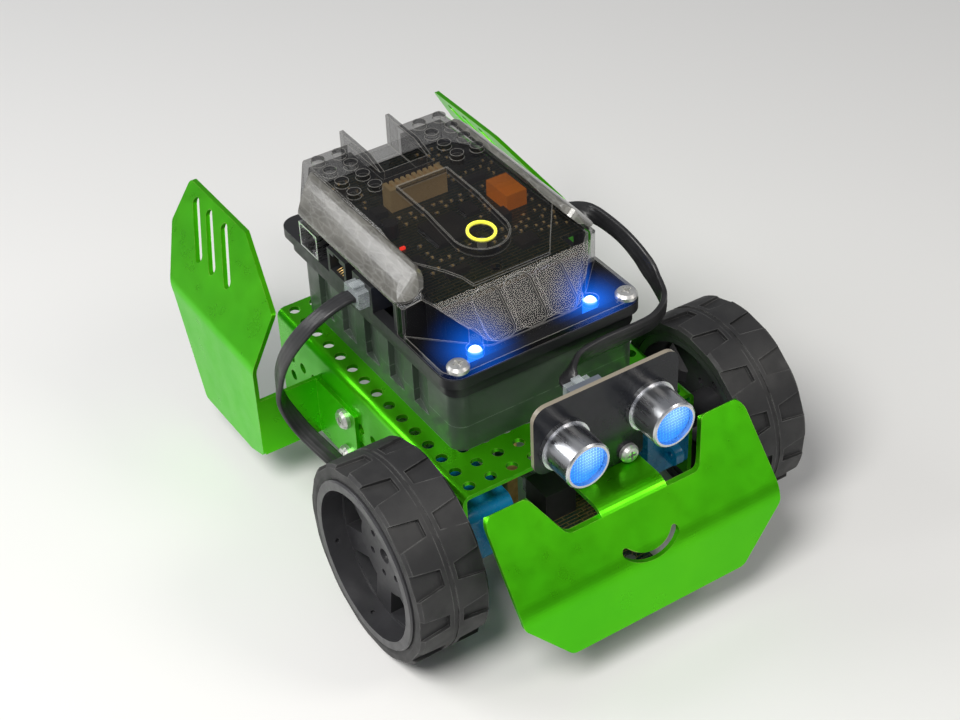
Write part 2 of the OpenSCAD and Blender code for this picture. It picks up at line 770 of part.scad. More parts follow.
module usb_socket() {
  color("silver") translate([-ctrl_w / 2, usb_y, socket_mid_z]) difference() {
    translate([0, -6, -4.8]) cube([15, 12, 9.6]);
    translate([-1, -5.3, -4.1]) cube([14, 10.6, 8.2]);
  }
  color("white") translate([-ctrl_w / 2 + 3, usb_y - 2.8, socket_mid_z - 1.6]) cube([11, 5.6, 3.2]);
}

module power_block() {
  color("darkorange") translate([20.4, 9, pcb_top]) cube([8, 12.4, 6]);
}

module module_connector() {
  color("tan") difference() {
    translate([-11, slot_y - 8, pcb_top]) cube([22, 5.6, 8.6]);
    for (i = [-4 : 4]) translate([i * 2.2 - 0.5, slot_y - 6, pcb_top + 3]) cube([1, 5, 7]);
  }
}

// Cover shape along the robot: a low front shelf, the rising hood and the flat roof.
function roof_line(inset) = [
  [-38 + inset, flange_top - (inset > 0 ? 1 : 0)],
  [-38 + inset, flange_top + 3.4 - inset * 0.4],
  [-35.6 + inset, flange_top + 5.4 - inset * 0.6],
  [-25 + inset * 0.7, roof - 7.5 - inset * 0.7],
  [-21.5 + inset * 0.5, roof - 5 - inset * 0.8],
  [-17 + inset * 0.4, ring_z + (ring_y + 17) * tan(-roof_slope) - inset],
  [roof_start, roof - inset],
  [roof_back - inset, roof - inset],
  [roof_back - inset, inset > 0 ? flange_top - 1 : pcb_top],
];

module cover_side() {
  polygon(concat(roof_line(0), [[side_slot_y, pcb_top], [side_slot_y, flange_top]]));
}

module cover_section(inset) {
  half = ctrl_w / 2 - 0.5 - inset;
  polygon([[-half, flange_top - 2], [-half, pcb_top + 0.8 - inset * 0.3], [-27 + inset * 0.5, roof - inset],
    [27 - inset * 0.5, roof - inset], [half, pcb_top + 0.8 - inset * 0.3], [half, flange_top - 2]]);
}

// Plan of the cover: a narrow nose between the lamps and cut-off corners at the rear.
module cover_plan() {
  for (m = [0, 1])
    mirror([m, 0]) polygon([
      [-0.1, -38], [16, -38], [18.2, -37.2], [36.6, -18.5], [37.5, -16], [37.5, 47], [27.5, roof_back],
      [-0.1, roof_back]]);
}

module cover_inside_plan() {
  for (m = [0, 1])
    mirror([m, 0]) polygon([
      [-0.1, -36], [15.4, -36], [16.9, -35.4], [34.8, -17.2], [35.5, -15.6], [35.5, 46.3], [26, roof_back - 1.5],
      [-0.1, roof_back - 1.5]]);
}

module cover_outer() {
  intersection() {
    along_x(-50, 50) cover_side();
    along_y(-60, 80) cover_section(0);
    translate([0, 0, flange_top]) linear_extrude(40) cover_plan();
  }
}

module cover_inner() {
  intersection() {
    along_x(-50, 50) polygon(roof_line(cover_wall));
    along_y(-60, 80) cover_section(cover_wall);
    translate([0, 0, flange_top - 3]) linear_extrude(50) cover_inside_plan();
  }
}

// Raised middle of the roof, which starts with a step along a V-shaped line at the top of the hood.
module brow() {
  intersection() {
    along_x(-50, 50) polygon([[-27, pcb_top + 1], [-27, roof - 8.5], [-24.6, roof - 6.3], [-21.5, roof - 4.2],
      [-17, ring_z - (ring_y + 17) * tan(roof_slope) + hood_step], [roof_start + 2, roof - 0.1],
      [roof_start + 2, pcb_top + 1]]);
    along_y(-60, 80) cover_section(0.06);
    translate([0, 0, pcb_top + 2]) linear_extrude(40)
      polygon([[-14.5, -24.5], [14.5, -24.5], [34, 1.2], [34, 12], [-34, 12], [-34, 1.2]]);
  }
}

// Three scoops down the hood's front slope, round at the top and open at the bottom.
module scoops() {
  tilt = atan2(roof - 12.9 - flange_top, 10.6);
  for (x = [-12, 0, 12])
    translate([x, -35.6, flange_top + 5.4]) rotate([tilt, 0, 0]) translate([0, 5, -1.3])
      linear_extrude(4) rrect(10.4, 17.2, 3.4);
}

module cover_skin() {
  difference() {
    union() {
      cover_outer();
      brow();
    }
    cover_inner();
    difference() {
      scoops();
      brow();
    }
  }
}

// Plan of the button tongue: straight sides and a round tip.
module tongue_plan(gap) {
  w = tongue_w - 2 * gap;
  translate([-w / 2, tongue_tip]) square([w, tongue_back - tongue_tip - gap]);
  translate([0, tongue_tip]) circle(w / 2);
}

// Light bar in place: a half-oval rod on the sloping side, tapering to a point in front.
module light_bar_solid() {
  turns = [for (i = [0 : 15]) i * 12];
  down = [for (i = [0 : 20]) i * 9];
  ahead = [for (i = [0 : 10]) i * 9];
  tip = nose_y - nose_len;
  for (m = [0, 1])
    mirror([m, 0, 0]) intersection() {
      translate(bar_at) rotate([0, -bar_lean, 0]) intersection() {
        along_y(tip - 1, 58) polygon(concat(
          [for (a = turns) [bar_high * sqrt(max(sin(a), 0)), bar_half * cos(a)]],
          [[-1, 0.8 - bar_half], [-1, bar_half - 0.8]]));
        along_x(-3, 5) polygon(concat([[58, 8], [nose_y, 8]],
          [for (a = down) [nose_y - nose_len * sin(a), (bar_half + 0.2) * cos(a)]], [[nose_y, -8], [58, -8]]));
        linear_extrude(20, center = true) polygon(concat([[3, 58], [3, nose_y]],
          [for (a = ahead) [(bar_high + 0.1) * cos(a), nose_y - nose_len * sin(a)]], [[-2, tip], [-2, 58]]));
      }
      translate([0, 0, pcb_top - 2]) linear_extrude(20)
        polygon([[20, -30], [40, -30], [40, 46], [37.5, 47.5], [26, 54.8], [20, 58]]);
    }
}

module slot_walls() {
  for (x = [-slot_half - 1.5, slot_half])
    along_x(x, x + 1.5) polygon([
      [slot_y - 1.5, pcb_top + 1], [slot_back, pcb_top + 1], [slot_back, roof + slot_rise],
      [slot_y + 8, roof + slot_rise - 0.1], [slot_y + 0.5, roof + 0.2], [slot_y - 1.5, roof - 1.2]]);
  translate([-slot_half - 1, slot_y - 1.5, pcb_top + 1]) cube([2 * slot_half + 2, slot_back - slot_y + 1.5, 1.5]);
  translate([-slot_half - 1, slot_y - 1.5, pcb_top + 1]) cube([2 * slot_half + 2, 1.5, roof - pcb_top - 2]);
}

module controller_cover() {
  color("#20242a", 0.6) difference() {
    union() {
      cover_skin();
      translate([0, 0, flange_top]) linear_extrude(2.2) difference() {
        translate([0, -29.2]) rrect(ctrl_w - 1, 30.6, 5.6);
        cover_inside_plan();
      }
      slot_walls();
      for (s = [-1, 1], x = [2, 3], j = [0 : 3])
        translate([s * x * pitch, 32 + j * pitch, roof - 0.5]) cylinder(h = 2.4, r = stud_d / 2);
    }
    translate([-slot_half, slot_y, pcb_top + 2.5]) cube([2 * slot_half, 60, 30]);
    translate([0, 0, pcb_top + 1]) linear_extrude(40) tongue_plan(0);
    light_bar_solid();
    for (s = [-1, 1]) {
      translate([s * ctrl_screw[0], ctrl_screw[1], flange_top - 1]) cylinder(h = 6, r = 1.8);
      translate([s * lamp_at[0], lamp_at[1], flange_top - 1]) cylinder(h = 9, r = 2.8);
    }
  }
}

module light_bars() {
  color("gainsboro") light_bar_solid();
}

module button_tongue() {
  color("#20242a", 0.6) difference() {
    intersection() {
      cover_skin();
      translate([0, 0, pcb_top + 1]) linear_extrude(40) tongue_plan(0.35);
    }
    ring_solid();
  }
}

module ring_solid() {
  translate([0, ring_y, ring_z + 0.6 * hood_step]) rotate([roof_slope - 1, 0, 0]) translate([0, 0, -0.5]) difference() {
    cylinder(h = 0.9, r = 5);
    translate([0, 0, -1]) cylinder(h = 4, r = 4.1);
  }
}

module button_ring() {
  color("yellow") ring_solid();
}

module switch_plunger() {
  color("white") translate([0, ring_y, pcb_top + 2.2]) cylinder(h = plunger_top - pcb_top - 2.2, r = 1.6);
}

module front_lamps() {
  color("deepskyblue")
    for (s = [-1, 1])
      translate([s * lamp_at[0], lamp_at[1], 0]) {
        translate([0, 0, box_top + 2]) cylinder(h = lamp_z - box_top - 2, r = 2.5);
        translate([0, 0, lamp_z]) sphere(2.5);
      }
}

module status_lamps() {
  color("red")
    for (y = [3, 10.5])
      translate([-20, y, pcb_top]) cube([1.8, 1, 0.8]);
}

module controller_screws() {
  color("silver")
    for (s = [-1, 1])
      translate([s * ctrl_screw[0], ctrl_screw[1], flange_top + 2.2]) pan_screw(8, 1.5, 3.7, 2.3);
}

module slide_switch() {
  color("#33363a") translate([ctrl_w / 2 - 7, switch_y - 5, pcb_z - 8]) difference() {
    cube([6.6, 10, 6]);
    translate([2, 1.6, 1.4]) cube([10, 6.8, 3.2]);
  }
}

module slide_knob() {
  color("whitesmoke") translate([ctrl_w / 2 - 4.8, switch_y - 1.2, pcb_z - 6.5]) cube([6.8, 2.4, 2.9]);
}

// ---- Drive ----

module gearbox(side) {
  color("deepskyblue") at_side(side)
    for (half = [0, 1])
      difference() {
        union() {
          along_x(half == 0 ? gear_in : gear_mid, half == 0 ? gear_mid : gear_out)
            translate([axle_y - 11 + gear_len / 2, axle_z]) rrect(gear_len, gear_h, 4);
          along_x(half == 0 ? gear_mid - 1.5 : gear_mid, half == 0 ? gear_mid : gear_mid + 1.5)
            translate([axle_y - 13.5, axle_z]) rrect(8, 7, 3);
        }
        difference() {
          along_x(gear_in + 1.5, gear_out - 1.5)
            translate([axle_y - 11 + gear_len / 2, axle_z]) rrect(gear_len - 3, gear_h - 3, 2.5);
          for (dz = [-bolt_dz, bolt_dz]) rod_x(gear_in, gear_out, bolt_y, axle_z + dz, 3);
          rod_x(gear_in, gear_in + 3, axle_y, axle_z, 4.5);
        }
        rod_x(gear_in - 1, gear_out + 1, axle_y, axle_z, shaft_r + 0.08);
        rod_x(gear_in - 1, gear_out + 1, mid_axis_y, axle_z, pin_r + 0.08);
        rod_y(gear_back - 3, gear_back + 1, gear_mid, axle_z, pin_r + 0.4);
        rod_x(gear_mid - 5, gear_mid + 5, axle_y - 14, axle_z, 1.5);
        for (dz = [-bolt_dz, bolt_dz]) rod_x(gear_in - 1, gear_out + 1, bolt_y, axle_z + dz, 1.5);
      }
}

module motor(side) {
  len = 26;
  at_side(side) {
    color("silver") difference() {
      intersection() {
        rod_y(gear_back, gear_back + len - 3, gear_mid, axle_z, 10);
        translate([gear_mid - 7.6, gear_back - 1, 0]) cube([15.2, 40, 60]);
      }
      intersection() {
        rod_y(gear_back + 0.8, gear_back + len, gear_mid, axle_z, 9.2);
        translate([gear_mid - 6.8, gear_back - 1, 0]) cube([13.6, 40, 60]);
      }
      rod_y(gear_back - 1, gear_back + 2, gear_mid, axle_z, pin_r + 0.06);
    }
    color("white") difference() {
      intersection() {
        rod_y(gear_back + len - 3, gear_back + len, gear_mid, axle_z, 10);
        translate([gear_mid - 7.6, gear_back, 0]) cube([15.2, 40, 60]);
      }
      rod_y(gear_back + len - 4, gear_back + len - 1, gear_mid, axle_z, pin_r + 0.06);
    }
  }
}

module rotor(side) {
  color("peru") at_side(side) {
    rod_y(gear_back - 9, gear_back + 24.5, gear_mid, axle_z, pin_r);
    rod_y(gear_back + 4, gear_back + 18, gear_mid, axle_z, 6);
    translate([gear_mid, gear_back - 8.6, axle_z]) rotate([-90, 0, 0]) grooved_disc(2, 4.4, 8);
  }
}

module reduction_gear(side) {
  color("white") at_side(side) translate([0, mid_axis_y, axle_z]) rotate([0, 90, 0]) {
    translate([0, 0, gear_in + 0.3]) cylinder(h = gear_out - gear_in - 0.6, r = pin_r);
    translate([0, 0, gear_mid - 5]) grooved_disc(crown_r, 2.8, 30);
    translate([0, 0, gear_mid + 2]) grooved_disc(small_r, 4, 10);
  }
}

module output_shaft(side) {
  color("white") at_side(side) {
    difference() {
      rod_x(gear_in + 0.3, shaft_end, axle_y, axle_z, shaft_r);
      for (s = [-1, 1])
        translate([hub_end - 0.2, axle_y - 5, axle_z + s * (1.85 + 5) - 5]) cube([30, 10, 10]);
      rod_x(shaft_end - 8, shaft_end + 1, axle_y, axle_z, 0.9);
    }
    translate([gear_mid + 2, axle_y, axle_z]) rotate([0, 90, 0]) grooved_disc(out_gear_r, 4, 30);
  }
}

module wheel_windows() {
  spokes = 6;
  spoke_w = 8.5;
  difference() {
    circle(24.8);
    circle(14);
    for (i = [0 : spokes - 1]) rotate(i * 360 / spokes) translate([0, -spoke_w / 2]) square([30, spoke_w]);
  }
}

// Rim about the Z axis, with z measured from the robot's middle.
module rim_shape() {
  difference() {
    union() {
      rotate_extrude($fn = 96) polygon([
        [dish_r + 0.4, tyre_in + 0.8], [lip_r, tyre_in + 0.8], [lip_r, tyre_in + 1.8], [rim_r, tyre_in + 1.8],
        [rim_r, tyre_out - 0.8], [lip_r, tyre_out - 0.8], [lip_r, tyre_out + 0.2], [lip_r - 0.5, tyre_out + 0.7],
        [dish_r - 0.2, tyre_out + 0.7], [dish_r, face_out], [dish_r, face_in]]);
      translate([0, 0, face_in]) cylinder(h = face_out - face_in, r = dish_r + 0.5, $fn = 96);
      translate([0, 0, hub_end]) cylinder(h = face_in - hub_end + 1, r = 5.5);
    }
    rotate([0, 0, spoke_turn]) translate([0, 0, face_in - 1]) linear_extrude(8) wheel_windows();
    intersection() {
      translate([0, 0, hub_end - 1]) cylinder(h = shaft_end - hub_end + 1, r = shaft_r);
      translate([-1.85, -5, hub_end - 2]) cube([3.7, 10, 30]);
    }
    translate([0, 0, hub_end - 1]) cylinder(h = 30, r = 1.3);
    translate([0, 0, face_out - 3.5]) cylinder(h = 5, r = 2.6);
    for (i = [0 : 5]) rotate([0, 0, spoke_turn + i * 60]) {
      translate([8, 0, face_in - 1]) cylinder(h = 8, r = 1.2);
      translate([dish_r - 2, 0, tyre_out - 3.2]) rotate([0, 90, 0]) cylinder(h = 3, r = 0.8);
    }
  }
}

// Turns a wheel piece from the Z axis onto the axle.
module on_axle(side) {
  at_side(side) translate([0, axle_y, axle_z]) rotate([0, 90, 0]) children();
}

module rim(side) {
  color("gray") on_axle(side) rim_shape();
}

module tyre(side) {
  r = tyre_d / 2;
  color("#4a4c4e") on_axle(side) difference() {
    rotate_extrude($fn = 120) polygon([
      [rim_r, tyre_in + 1.8], [lip_r, tyre_in + 1.8], [lip_r + 0.1, tyre_in + 0.4], [30.5, tyre_in],
      [r - 1, tyre_in + 0.2], [r, tyre_in + 1.2], [r, tyre_out - 1.2], [r - 1, tyre_out - 0.2], [30.5, tyre_out],
      [lip_r + 0.1, tyre_out - 0.4], [lip_r, tyre_out - 0.8], [rim_r, tyre_out - 0.8]]);
    for (i = [0 : tread_count - 1])
      rotate([0, 0, tread_turn + i * 360 / tread_count]) translate([r - tread_deep, 0, track / 2]) rotate([0, 90, 0])
        linear_extrude(3)
          for (s = [-1, 1]) polygon([
            [s * 2.4, -2.8], [s * 2.4, 2.8], [s * (tyre_w / 2 + 1), 4.6], [s * (tyre_w / 2 + 1), -4.6]]);
    translate([0, 0, track / 2 - 0.8]) difference() {
      cylinder(h = 1.6, r = r + 1, $fn = 120);
      translate([0, 0, -1]) cylinder(h = 4, r = r - 0.35, $fn = 120);
    }
  }
}

module axle_screw(side) {
  color("silver") at_side(side) {
    rod_x(shaft_end - 7, face_out - 3.4, axle_y, axle_z, 0.9);
    rod_x(face_out - 3.5, face_out - 1.8, axle_y, axle_z, 2.2);
  }
}

// ---- Caster ----

module caster_housing() {
  color("#2a2b2e") translate([0, caster_y, 0]) difference() {
    union() {
      translate([0, 0, cup_low]) cylinder(h = 16, r = cup_r);
      translate([0, 0, cup_low + 15]) cylinder(h = plate_under - cup_low - 15, r = 8);
      translate([0, 0, plate_under - 3]) linear_extrude(3) rrect(4 * pitch + 10, 18, 5);
    }
    translate([0, 0, ball_r]) sphere(ball_r + ball_gap, $fn = 64);
    translate([0, 0, ball_r]) cylinder(h = 9.5, r = 4);
    for (s = [-1, 1])
      translate([s * 2 * pitch, 0, plate_under - 6]) cylinder(h = 8, r = 1.95);
  }
}

module caster_ball() {
  color("silver") translate([0, caster_y, ball_r]) sphere(ball_r, $fn = 64);
}

chassis_plate();
front_bumper();
sensor_bracket();
wing(-1);  // left_wing
wing(1);  // right_wing
frame_screws();
motor_bolts();
spacers();
sensor_board();
sensor_screws();
transducer_cans();
transducer_meshes();
sensor_socket();
sensor_plugs();
sensor_cable();
line_board();
line_sensors();
line_socket();
line_plugs();
line_cable();
battery_tray();
battery_cover();
battery_cells();
battery_contacts();
controller_base();
controller_board();
board_parts();
side_sockets();
usb_socket();
power_block();
module_connector();
controller_cover();
light_bars();
button_tongue();
button_ring();
switch_plunger();
front_lamps();
status_lamps();
controller_screws();
slide_switch();
slide_knob();
gearbox(-1);  // left_gearbox
gearbox(1);  // right_gearbox
motor(-1);  // left_motor
motor(1);  // right_motor
rotor(-1);  // left_rotor
rotor(1);  // right_rotor
reduction_gear(-1);  // left_reduction_gear
reduction_gear(1);  // right_reduction_gear
output_shaft(-1);  // left_output_shaft
output_shaft(1);  // right_output_shaft
rim(-1);  // left_rim
rim(1);  // right_rim
tyre(-1);  // left_tyre
tyre(1);  // right_tyre
axle_screw(-1);  // left_axle_screw
axle_screw(1);  // right_axle_screw
caster_housing();
caster_ball();
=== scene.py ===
import json
import math
import random

import bmesh
import bpy
from mathutils import Matrix, Vector


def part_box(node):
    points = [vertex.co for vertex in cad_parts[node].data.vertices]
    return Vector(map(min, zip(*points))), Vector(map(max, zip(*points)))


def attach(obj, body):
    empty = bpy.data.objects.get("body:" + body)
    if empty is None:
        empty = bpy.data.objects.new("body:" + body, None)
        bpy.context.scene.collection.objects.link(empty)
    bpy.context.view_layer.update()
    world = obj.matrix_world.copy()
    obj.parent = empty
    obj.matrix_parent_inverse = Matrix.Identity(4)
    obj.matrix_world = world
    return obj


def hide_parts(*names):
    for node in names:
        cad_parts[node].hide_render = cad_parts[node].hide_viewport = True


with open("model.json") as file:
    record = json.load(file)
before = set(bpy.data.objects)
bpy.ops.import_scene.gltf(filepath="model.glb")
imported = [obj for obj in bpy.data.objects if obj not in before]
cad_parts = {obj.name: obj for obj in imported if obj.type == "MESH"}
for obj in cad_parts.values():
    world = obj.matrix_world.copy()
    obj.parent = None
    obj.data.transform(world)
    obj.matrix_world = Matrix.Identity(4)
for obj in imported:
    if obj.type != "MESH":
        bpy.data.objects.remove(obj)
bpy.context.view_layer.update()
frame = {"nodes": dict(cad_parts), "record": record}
nodes = frame["nodes"]
MM = 0.001


# ---- Camera, floor and light -------------------------------------------------

# The camera stands where the photograph was taken from.
# Its azimuth turns from +Y towards +X, and its elevation is how far it looks down.
CAMERA_PLACE = Vector((-265.84, -434.71, 450.96)) * MM
CAMERA_AZIMUTH = math.radians(31.61)
CAMERA_ELEVATION = math.radians(38.35)
CAMERA_ROLL = math.radians(-2.60)
CAMERA_LENS = 71.54
CAMERA_FILM_WIDTH = 36
LIGHTS_AIM = Vector((0, 0, 50)) * MM
FLOOR_SIZE = 8


def add_camera():
    az, el, roll = CAMERA_AZIMUTH, CAMERA_ELEVATION, CAMERA_ROLL
    ahead = Vector((math.cos(el) * math.sin(az), math.cos(el) * math.cos(az), -math.sin(el)))
    level = Vector((math.cos(az), -math.sin(az), 0))
    above = level.cross(ahead)
    right = math.cos(roll) * level + math.sin(roll) * above
    up = math.cos(roll) * above - math.sin(roll) * level
    data = bpy.data.cameras.new("camera")
    data.lens = CAMERA_LENS
    data.sensor_width = CAMERA_FILM_WIDTH
    data.clip_start = 0.01
    camera = bpy.data.objects.new("camera", data)
    axes = Matrix((right, up, -ahead)).transposed()
    camera.matrix_world = Matrix.Translation(CAMERA_PLACE) @ axes.to_4x4()
    bpy.context.scene.collection.objects.link(camera)
    bpy.context.scene.camera = camera


def add_light(name, place, size, power, colour):
    """A round area light that faces the robot."""
    data = bpy.data.lights.new(name, "AREA")
    data.shape = "DISK"
    data.size = size
    data.energy = power
    data.color = colour
    light = bpy.data.objects.new(name, data)
    light.location = place
    aim = LIGHTS_AIM - Vector(place)
    light.rotation_euler = aim.to_track_quat("-Z", "Y").to_euler()
    bpy.context.scene.collection.objects.link(light)


def add_studio():
    """Soft key light from the left, a weaker one from the front right and one from behind."""
    scene = bpy.context.scene
    scene.view_settings.view_transform = "Standard"
    world = bpy.data.worlds.new("studio")
    world.use_nodes = True
    background = world.node_tree.nodes["Background"]
    background.inputs["Color"].default_value = (0.93, 0.95, 1, 1)
    background.inputs["Strength"].default_value = 0.27
    scene.world = world
    add_light("key_light", (-0.45, -0.25, 0.75), 0.4, 6.2, (1, 0.98, 0.95))
    add_light("fill_light", (0.5, -0.62, 0.78), 0.34, 2.2, (1, 0.95, 0.88))
    add_light("rim_light", (-0.6, 0.55, 0.6), 0.5, 3.2, (1, 1, 1))


def add_floor():
    bpy.ops.mesh.primitive_plane_add(size=FLOOR_SIZE, location=(0, 0, 0))
    floor = bpy.context.object
    floor.name = "floor"
    surface = Surface("floor_paint", (0.8, 0.8, 0.79), roughness=0.6)
    surface.bump([(600, 0.15)], 0.04 * MM)
    floor.data.materials.append(surface.material)


# ---- Materials ---------------------------------------------------------------


class Surface:
    """A Principled material, with short calls for the variation, painted edge highlights with wear, and
    bump that finishes share.
    """

    def __init__(self, name, colour, roughness=0.5, metallic=0.0):
        self.material = bpy.data.materials.new(name)
        self.material.use_nodes = True
        self.tree = self.material.node_tree
        self.shader = self.tree.nodes["Principled BSDF"]
        self.shader.inputs["Metallic"].default_value = metallic
        self.shader.inputs["Roughness"].default_value = roughness
        self.shader.inputs["Base Color"].default_value = (*colour, 1)
        self.colour = (*colour, 1)
        self.base = roughness
        self.place = self.node("ShaderNodeTexCoord").outputs["Object"]

    def node(self, kind, **settings):
        made = self.tree.nodes.new(kind)
        for key, value in settings.items():
            setattr(made, key, value)
        return made

    def link(self, source, target):
        self.tree.links.new(source, target)

    def set(self, **values):
        for key, value in values.items():
            self.shader.inputs[key.replace("_", " ")].default_value = value
        return self

    def noise(self, scale, detail=3.0, stretch=None):
        """Noise from 0 to 1, scale in features per metre, stretched along the object's axes."""
        source = self.place
        if stretch:
            mapping = self.node("ShaderNodeMapping")
            mapping.inputs["Scale"].default_value = stretch
            self.link(source, mapping.inputs["Vector"])
            source = mapping.outputs["Vector"]
        made = self.node("ShaderNodeTexNoise")
        made.inputs["Scale"].default_value = scale
        made.inputs["Detail"].default_value = detail
        self.link(source, made.inputs["Vector"])
        return made.outputs["Fac"]

    def between(self, value, low, high, out_low=0.0, out_high=1.0):
        """Maps low to out_low and high to out_high, and stays within them."""
        made = self.node("ShaderNodeMapRange", clamp=True)
        self.link(value, made.inputs["Value"])
        ends = {"From Min": low, "From Max": high, "To Min": out_low, "To Max": out_high}
        for key, number in ends.items():
            made.inputs[key].default_value = number
        return made.outputs["Result"]

    def paint(self, mask, colour):
        """Lays a colour over what is there, where the mask is 1."""
        made = self.node("ShaderNodeMix", data_type="RGBA")
        socket = self.shader.inputs["Base Color"]
        if socket.is_linked:
            self.link(socket.links[0].from_socket, made.inputs["A"])
        else:
            made.inputs["A"].default_value = self.colour
        made.inputs["B"].default_value = (*colour, 1)
        self.link(mask, made.inputs["Factor"])
        self.link(made.outputs["Result"], socket)
        return self

    def vary(self, colour, scale=60, detail=3, amount=1.0, stretch=None):
        """Cloudy change of colour, as in moulded or rolled stock."""
        clouds = self.noise(scale, detail, stretch)
        return self.paint(self.between(clouds, 0.35, 0.75, 0, amount), colour)

    def uneven_gloss(self, spread, scale=90, detail=5, stretch=None):
        """Roughness that wanders by spread to either side of the base value."""
        clouds = self.noise(scale, detail, stretch)
        low, high = max(0.02, self.base - spread), min(1, self.base + spread)
        self.link(self.between(clouds, 0.3, 0.7, low, high), self.shader.inputs["Roughness"])
        return self

    def bump(self, layers, distance):
        """Adds up noise bumps: layers holds (scale, strength) pairs, or (scale, strength, stretch)."""
        last = None
        for layer in layers:
            scale, strength = layer[:2]
            stretch = layer[2] if len(layer) > 2 else None
            made = self.node("ShaderNodeBump")
            made.inputs["Strength"].default_value = strength
            made.inputs["Distance"].default_value = distance
            self.link(self.noise(scale, 2, stretch), made.inputs["Height"])
            if last:
                self.link(last, made.inputs["Normal"])
            last = made.outputs["Normal"]
        self.link(last, self.shader.inputs["Normal"])
        return self

    def edges(self, radius=0.4 * MM, low=0.02, high=0.12):
        """Mask of the outer edges, from how far a rounded normal leaves the true one."""
        bevel = self.node("ShaderNodeBevel", samples=4)
        bevel.inputs["Radius"].default_value = radius
        geometry = self.node("ShaderNodeNewGeometry")
        dot = self.node("ShaderNodeVectorMath", operation="DOT_PRODUCT")
        self.link(bevel.outputs["Normal"], dot.inputs[0])
        self.link(geometry.outputs["Normal"], dot.inputs[1])
        return self.between(dot.outputs["Value"], 1 - high, 1 - low, 1, 0)

    def edge_highlight_and_wear(self, colour, radius=0.4 * MM, patchy=300):
        """Lighter, patchy edges: a painted highlight where edges catch light, mixed with wear where the
        finish is worn.
        """
        # painted highlight: the edge colour is a lighter copy of the finish, broken up by noise
        made = self.node("ShaderNodeMath", operation="MULTIPLY")
        self.link(self.edges(radius), made.inputs[0])
        self.link(self.between(self.noise(patchy, 4), 0.35, 0.6), made.inputs[1])
        return self.paint(made.outputs["Value"], colour)

    def glow(self, colour, strength):
        self.shader.inputs["Emission Color"].default_value = (*colour, 1)
        self.shader.inputs["Emission Strength"].default_value = strength
        return self

    def glow_around(self, mask, outer, inner, strength):
        """Glows in the inner colour where the mask is 1, and in the outer one where it is 0."""
        mixed = self.node("ShaderNodeMix", data_type="RGBA")
        mixed.inputs["A"].default_value = (*outer, 1)
        mixed.inputs["B"].default_value = (*inner, 1)
        self.link(mask, mixed.inputs["Factor"])
        self.link(mixed.outputs["Result"], self.shader.inputs["Emission Color"])
        self.shader.inputs["Emission Strength"].default_value = strength
        return self


def anodised_green():
    made = Surface("green_anodised_metal", (0.07, 0.56, 0.001), roughness=0.32, metallic=0.82)
    made.vary((0.1, 0.64, 0.002), scale=35, amount=0.7)
    # painted edge highlight in brighter green, with some wear
    made.edge_highlight_and_wear((0.4, 0.85, 0.1), radius=0.35 * MM)
    made.uneven_gloss(0.06, scale=120)
    return made.bump([(3200, 0.35), (900, 0.12)], 0.04 * MM)


def screw_steel():
    made = Surface("screw_steel", (0.78, 0.78, 0.76), roughness=0.36, metallic=0.85)
    made.vary((0.62, 0.62, 0.6), scale=700)
    made.uneven_gloss(0.1, scale=900)
    return made.bump([(2500, 0.25)], 0.03 * MM)


def brass():
    made = Surface("spacer_brass", (0.72, 0.5, 0.2), roughness=0.32, metallic=1)
    made.vary((0.55, 0.36, 0.14), scale=400)
    return made.bump([(1500, 0.2, (1, 1, 8))], 0.03 * MM)


def solder_mask(name, colour, track):
    """Circuit board: gloss mask over faint copper tracks that run in straight steps."""
    made = Surface(name, colour, roughness=0.3)
    brick = made.node("ShaderNodeTexBrick")
    brick.offset = 0.37
    brick.inputs["Scale"].default_value = 210
    brick.inputs["Mortar Size"].default_value = 0.035
    brick.inputs["Brick Width"].default_value = 1.7
    brick.inputs["Row Height"].default_value = 0.31
    for key, value in (("Color1", 0), ("Color2", 0), ("Mortar", 1)):
        brick.inputs[key].default_value = (value, value, value, 1)
    made.link(made.place, brick.inputs["Vector"])
    made.paint(made.between(brick.outputs["Color"], 0.3, 0.7, 0, 0.8), track)
    made.edge_highlight_and_wear((0.55, 0.45, 0.28), radius=0.3 * MM)
    made.uneven_gloss(0.08, scale=500)
    return made.bump([(1400, 0.12)], 0.03 * MM)


def sensor_mask():
    """Black board whose cut edge shows the pale core."""
    made = Surface("sensor_board_mask", (0.01, 0.011, 0.014), roughness=0.2)
    made.set(Specular_IOR_Level=0.28)
    made.vary((0.018, 0.019, 0.024), scale=90)
    geometry = made.node("ShaderNodeNewGeometry")
    parts = made.node("ShaderNodeSeparateXYZ")
    made.link(geometry.outputs["Normal"], parts.inputs["Vector"])
    size = made.node("ShaderNodeMath", operation="ABSOLUTE")
    made.link(parts.outputs["Y"], size.inputs[0])
    made.paint(made.between(size.outputs["Value"], 0.5, 0.8, 1, 0), (0.26, 0.23, 0.18))
    made.uneven_gloss(0.06, scale=400)
    return made.bump([(1200, 0.1)], 0.03 * MM)


def can_metal():
    made = Surface("transducer_can_metal", (0.7, 0.71, 0.73), roughness=0.3, metallic=1)
    made.vary((0.5, 0.51, 0.54), scale=160, stretch=(1, 0.15, 1))
    # painted edge highlight, near white, with some wear
    made.edge_highlight_and_wear((0.9, 0.9, 0.92), radius=0.4 * MM)
    made.uneven_gloss(0.12, scale=500, stretch=(1, 0.1, 1))
    return made.bump([(2500, 0.2, (1, 0.08, 1))], 0.03 * MM)


def lit_mesh():
    made = Surface("transducer_mesh_wire", (0.12, 0.3, 0.6), roughness=0.35, metallic=0.4)
    made.vary((0.06, 0.2, 0.5), scale=500)
    # painted glow: the wires glow blue, standing in for the eye light falling on them
    made.glow((0.02, 0.2, 0.8), 0.5)
    return made.bump([(3000, 0.2)], 0.02 * MM)


